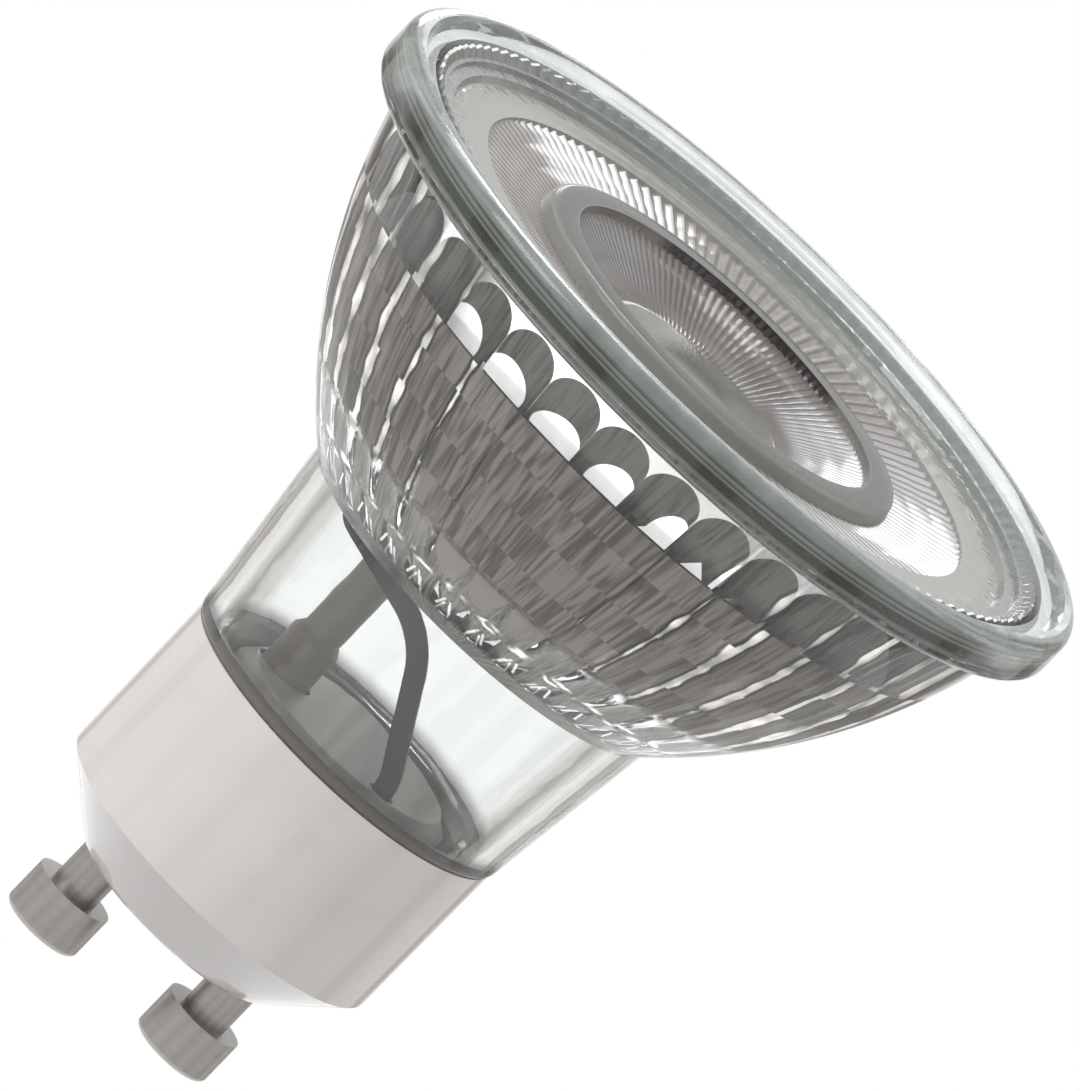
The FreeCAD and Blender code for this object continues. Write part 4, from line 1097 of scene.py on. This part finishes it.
SEAL_TOP = LEDGE_HEIGHT + 0.2
LENS_RADIUS = RECESS_RADIUS - 0.3
LENS_LIP_TOP = SEAL_TOP + 1.85
LENS_FACE = LENS_LIP_TOP - 1.2
PLUG_RADIUS = LEDGE_RADIUS - 0.9
PLUG_HEIGHT = SEAL_TOP - 1.5
RING_OUTER = 17.7
RING_INNER = 12.9
RING_DEPTH = 0.85
RING_ROUND = 0.4
WELL_RADIUS = 10.9
WELL_FLOOR_RADIUS = 6.0
WELL_DEPTH = 2.5
WELL_STEP = 0.5
WELL_WALL = 1.0
RIB_STEPS = 6
ANNULUS_ROWS = 3
ANNULUS_RIB_DEPTH = 0.17
ANNULUS_DROP = 0.1
WELL_ROWS = 4
WELL_RIB_DEPTH = 0.12
ROW_PROFILE = ((0, 1), (0.5, 0.55), (0.95, 1))
LIP_RIB_DEPTH = 0.2
LIP_PROFILE = (
    (0.0, 0.4, 0), (0.1, 0.0, 1), (0.3, 0.0, 1), (0.7, 0.5, 0),
    (0.95, 0.55, 0), (1.05, 0.8, 0), (1.75, 0.85, 0),
)
BORDER_INSET = 2.0
WALL_DRAFT = 0.05
ROUND_STEPS = 5
HUB_RADIUS = 0.02
FLOOR_ROW_RADII = (WELL_FLOOR_RADIUS - 0.3, 2.0, HUB_RADIUS)


def lens_ribs():
    """Radial ribs: the face sinks between them as far as each point's own rib depth."""
    t = Relief("lens_ribs")
    count = t.number("Ribs", float(RIB_COUNT))
    place = t.node("GeometryNodeInputPosition")
    parts = t.node("ShaderNodeSeparateXYZ")
    t.link(place.outputs[0], parts.inputs[0])
    turn = t.math("ARCTAN2", parts.outputs[1], parts.outputs[0])
    ribs = t.product(t.ratio(turn, 2 * math.pi), count)
    wave = t.product(t.math("ABSOLUTE", t.less(t.math("FRACT", ribs), 0.5)), -2.0)
    sink = t.product(wave, t.attribute("rib_depth"))
    offset = t.node("ShaderNodeCombineXYZ")
    t.link(sink, offset.inputs[2])
    t.finished(t.raised(offset.outputs[0]), LENS)
    return t


def terraces(start, end, count, depth):
    """Rows of ribs between two circles, each a (radius, height): shallower in a row's middle."""
    rows = []
    for k in range(count):
        for step, level in ROW_PROFILE:
            share = (k + step) / count
            radius = start[0] + (end[0] - start[0]) * share
            rows.append((radius, start[1] + (end[1] - start[1]) * share, depth * level))
    return rows


def rounded_edge():
    """The rounding on the outer edge of the lens's flat ring, from its wall to its face."""
    points = []
    for k in range(ROUND_STEPS + 1):
        turn = k * math.pi / (2 * ROUND_STEPS)
        inset = WALL_DRAFT + RING_ROUND * (1 - math.cos(turn))
        points.append((RING_INNER - inset, LENS_FACE - RING_ROUND * (1 - math.sin(turn)), 0.0))
    return points


def front_lens():
    """The lens as one closed skin, from the middle of its underside round to that of its face."""
    columns = RIB_COUNT * RIB_STEPS
    angles = np.arange(columns) * 2 * math.pi / columns
    underside = LENS_FACE - WELL_DEPTH - WELL_WALL
    floor = LENS_FACE - WELL_DEPTH
    step = LENS_FACE - WELL_STEP
    rows = [
        (HUB_RADIUS, underside, 0.0),
        (WELL_FLOOR_RADIUS, underside, 0.0),
        (WELL_RADIUS, PLUG_HEIGHT, 0.0),
        (PLUG_RADIUS, PLUG_HEIGHT, 0.0),
        (PLUG_RADIUS, SEAL_TOP, 0.0),
        (LENS_RADIUS, SEAL_TOP, 0.0),
    ]
    for inset, drop, ribbed in LIP_PROFILE:
        rows.append((LENS_RADIUS - inset, LENS_LIP_TOP - drop, ribbed * LIP_RIB_DEPTH))
    rows += [(LENS_RADIUS - BORDER_INSET, LENS_FACE, 0.0), (RING_OUTER + WALL_DRAFT, LENS_FACE, 0.0)]
    annulus_start = (RING_OUTER, LENS_FACE - ANNULUS_DROP)
    rows += terraces(annulus_start, (RING_INNER, LENS_FACE - RING_DEPTH), ANNULUS_ROWS, ANNULUS_RIB_DEPTH)
    rows += rounded_edge()
    rows += [(WELL_RADIUS, LENS_FACE, 0.0), (WELL_RADIUS - WALL_DRAFT, step, 0.0)]
    slope_start = (WELL_RADIUS - 2 * WALL_DRAFT, step)
    rows += terraces(slope_start, (WELL_FLOOR_RADIUS, floor), WELL_ROWS, WELL_RIB_DEPTH)
    rows += [(radius, floor, 0.0) for radius in FLOOR_ROW_RADII]
    radii = np.array([np.full(columns, r) for r, _, _ in rows])
    heights = np.array([np.full(columns, z) for _, z, _ in rows])
    body = rings_mesh("lens_body", radii, heights, angles, LENS, False)
    stored(body, "rib_depth", np.array([np.full(columns, depth * MM) for _, _, depth in rows]))
    lens_ribs().applied(body, RIB_CREASE)
    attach(body, "root")
    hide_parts("front_lens")


front_lens()


# Studio: a white room with narrow brown flags all round, a pale floor well below, three soft boxes

FLAG_COUNT = 8
FLAG_EDGE = (-0.45, -0.8)
FLAG_TOP = (0.8, 0.6)
GROUND_FADE = (-0.9, 0.1)
ROOM_WHITE = (0.86, 0.86, 0.855)
FLAG_BROWN = (0.36, 0.325, 0.29)
GROUND_LEVEL = 0.4
CLEAR_LEVEL = 1.16
MIRROR_LEVEL = 0.9

LAMP_MIDDLE = Vector((0, 0, 0.02))
FLOOR_DROP = 90
FLOOR_RADIUS = 250
FLOOR_SIDES = 64
FLOOR_WHITE = (0.9, 0.9, 0.9)
FLOOR_DIM = (0.25, 0.25, 0.25)
FLOOR_GLOW = 0.2


def room():
    """The world: white to the camera, and to the lamp a room of a plain level with its flags."""
    world = bpy.data.worlds.new("studio")
    bpy.context.scene.world = world
    world.use_nodes = True
    world.node_tree.nodes.clear()
    t = Tree(world)
    rays = t.node("ShaderNodeLightPath")
    coordinates = t.node("ShaderNodeTexCoord")
    parts = t.node("ShaderNodeSeparateXYZ")
    t.link(coordinates.outputs["Generated"], parts.inputs[0])
    x, y, z = parts.outputs
    turn = t.product(t.math("ARCTAN2", y, x), float(FLAG_COUNT))
    flags = t.stepped(t.math("COSINE", turn), *FLAG_EDGE)
    flags = t.product(flags, t.stepped(t.math("ABSOLUTE", z), *FLAG_TOP))
    tone = t.ramp(flags, ROOM_WHITE, FLAG_BROWN, 0.0, 1.0)
    level = t.total(t.product(t.stepped(z, *GROUND_FADE), 1 - GROUND_LEVEL), GROUND_LEVEL)
    clear = t.product(rays.outputs["Is Transmission Ray"], CLEAR_LEVEL)
    mirrored = t.product(rays.outputs["Is Glossy Ray"], MIRROR_LEVEL)
    level = t.math("MAXIMUM", level, t.math("MAXIMUM", clear, mirrored))
    lit = t.node("ShaderNodeBackground")
    t.link(tone, lit.inputs["Color"])
    t.link(level, lit.inputs["Strength"])
    white = t.node("ShaderNodeBackground")
    white.inputs["Color"].default_value = (1, 1, 1, 1)
    seen = t.mixed(rays.outputs["Is Camera Ray"], lit, white)
    out = t.node("ShaderNodeOutputWorld")
    t.link(seen.outputs[0], out.inputs["Surface"])


def pale_floor():
    """A round floor: white where it is seen, dim as a source of light on the lamp."""
    made = material("pale_floor")
    t = Tree(made)
    rays = t.node("ShaderNodeLightPath")
    matt = t.node("ShaderNodeBsdfDiffuse")
    matt.inputs["Color"].default_value = (*FLOOR_WHITE, 1)
    dim = t.node("ShaderNodeBsdfDiffuse")
    dim.inputs["Color"].default_value = (*FLOOR_DIM, 1)
    glow = t.node("ShaderNodeEmission")
    glow.inputs["Strength"].default_value = FLOOR_GLOW
    both = t.node("ShaderNodeAddShader")
    t.link(matt.outputs[0], both.inputs[0])
    t.link(glow.outputs[0], both.inputs[1])
    seen = t.math("MAXIMUM", rays.outputs["Is Camera Ray"], rays.outputs["Is Transmission Ray"])
    seen = t.math("MAXIMUM", seen, rays.outputs["Is Glossy Ray"])
    t.output(t.mixed(seen, dim, both).outputs[0])
    corners = []
    for k in range(FLOOR_SIDES):
        angle = k * 2 * math.pi / FLOOR_SIDES
        corners.append((FLOOR_RADIUS * math.cos(angle), FLOOR_RADIUS * math.sin(angle), -FLOOR_DROP))
    floor = mesh_object("floor", corners, [tuple(range(FLOOR_SIDES))], made)


def soft_box(name, place, size, energy):
    """A soft box in metres and watts, turned to the lamp."""
    lamp = bpy.data.lights.new(name, "AREA")
    lamp.shape = "RECTANGLE"
    lamp.size, lamp.size_y = size
    lamp.energy = energy
    thing = bpy.data.objects.new(name, lamp)
    thing.location = place
    aim = LAMP_MIDDLE - Vector(place)
    thing.rotation_euler = aim.to_track_quat("-Z", "Y").to_euler()
    bpy.context.scene.collection.objects.link(thing)


CAMERA_ELEVATION = 13.8
CAMERA_ROLL = 44.0
CAMERA_FOCAL = 1400.0
CAMERA_SENSOR = 36.0
CAMERA_TARGET = (0.277, 0, 29.68)
CAMERA_REACH = 20
PICTURE_HEIGHT = 1091
PIXELS_PER_MM = 18.07


def camera():
    """A long lens from above the face, rolled so that the lamp leans to the right."""
    elevation, roll = math.radians(CAMERA_ELEVATION), math.radians(CAMERA_ROLL)
    data = bpy.data.cameras.new("camera")
    data.lens = CAMERA_FOCAL
    data.sensor_width = CAMERA_SENSOR
    distance = CAMERA_FOCAL / CAMERA_SENSOR * PICTURE_HEIGHT / PIXELS_PER_MM
    ahead = Vector((0, math.cos(elevation), -math.sin(elevation)))
    level = Vector((1, 0, 0))
    upright = level.cross(ahead)
    right = level * math.cos(roll) + upright * math.sin(roll)
    up = upright * math.cos(roll) - level * math.sin(roll)
    place = (Vector(CAMERA_TARGET) - ahead * distance) * MM
    data.clip_end = CAMERA_REACH
    thing = bpy.data.objects.new("camera", data)
    turn = Matrix((right, up, -ahead)).transposed()
    thing.matrix_world = Matrix.Translation(place) @ turn.to_4x4()
    bpy.context.scene.collection.objects.link(thing)
    bpy.context.scene.camera = thing


room()
pale_floor()
soft_box("left_box", (-0.6, -0.4, 0.45), (0.4, 0.4), 2.6)
soft_box("low_box", (-0.11, 0.58, 0.13), (0.14, 0.1), 0.15)
soft_box("back_box", (-0.15, 0.45, 0.6), (0.3, 0.3), 2.0)
camera()
bpy.context.scene.view_settings.view_transform = "Standard"
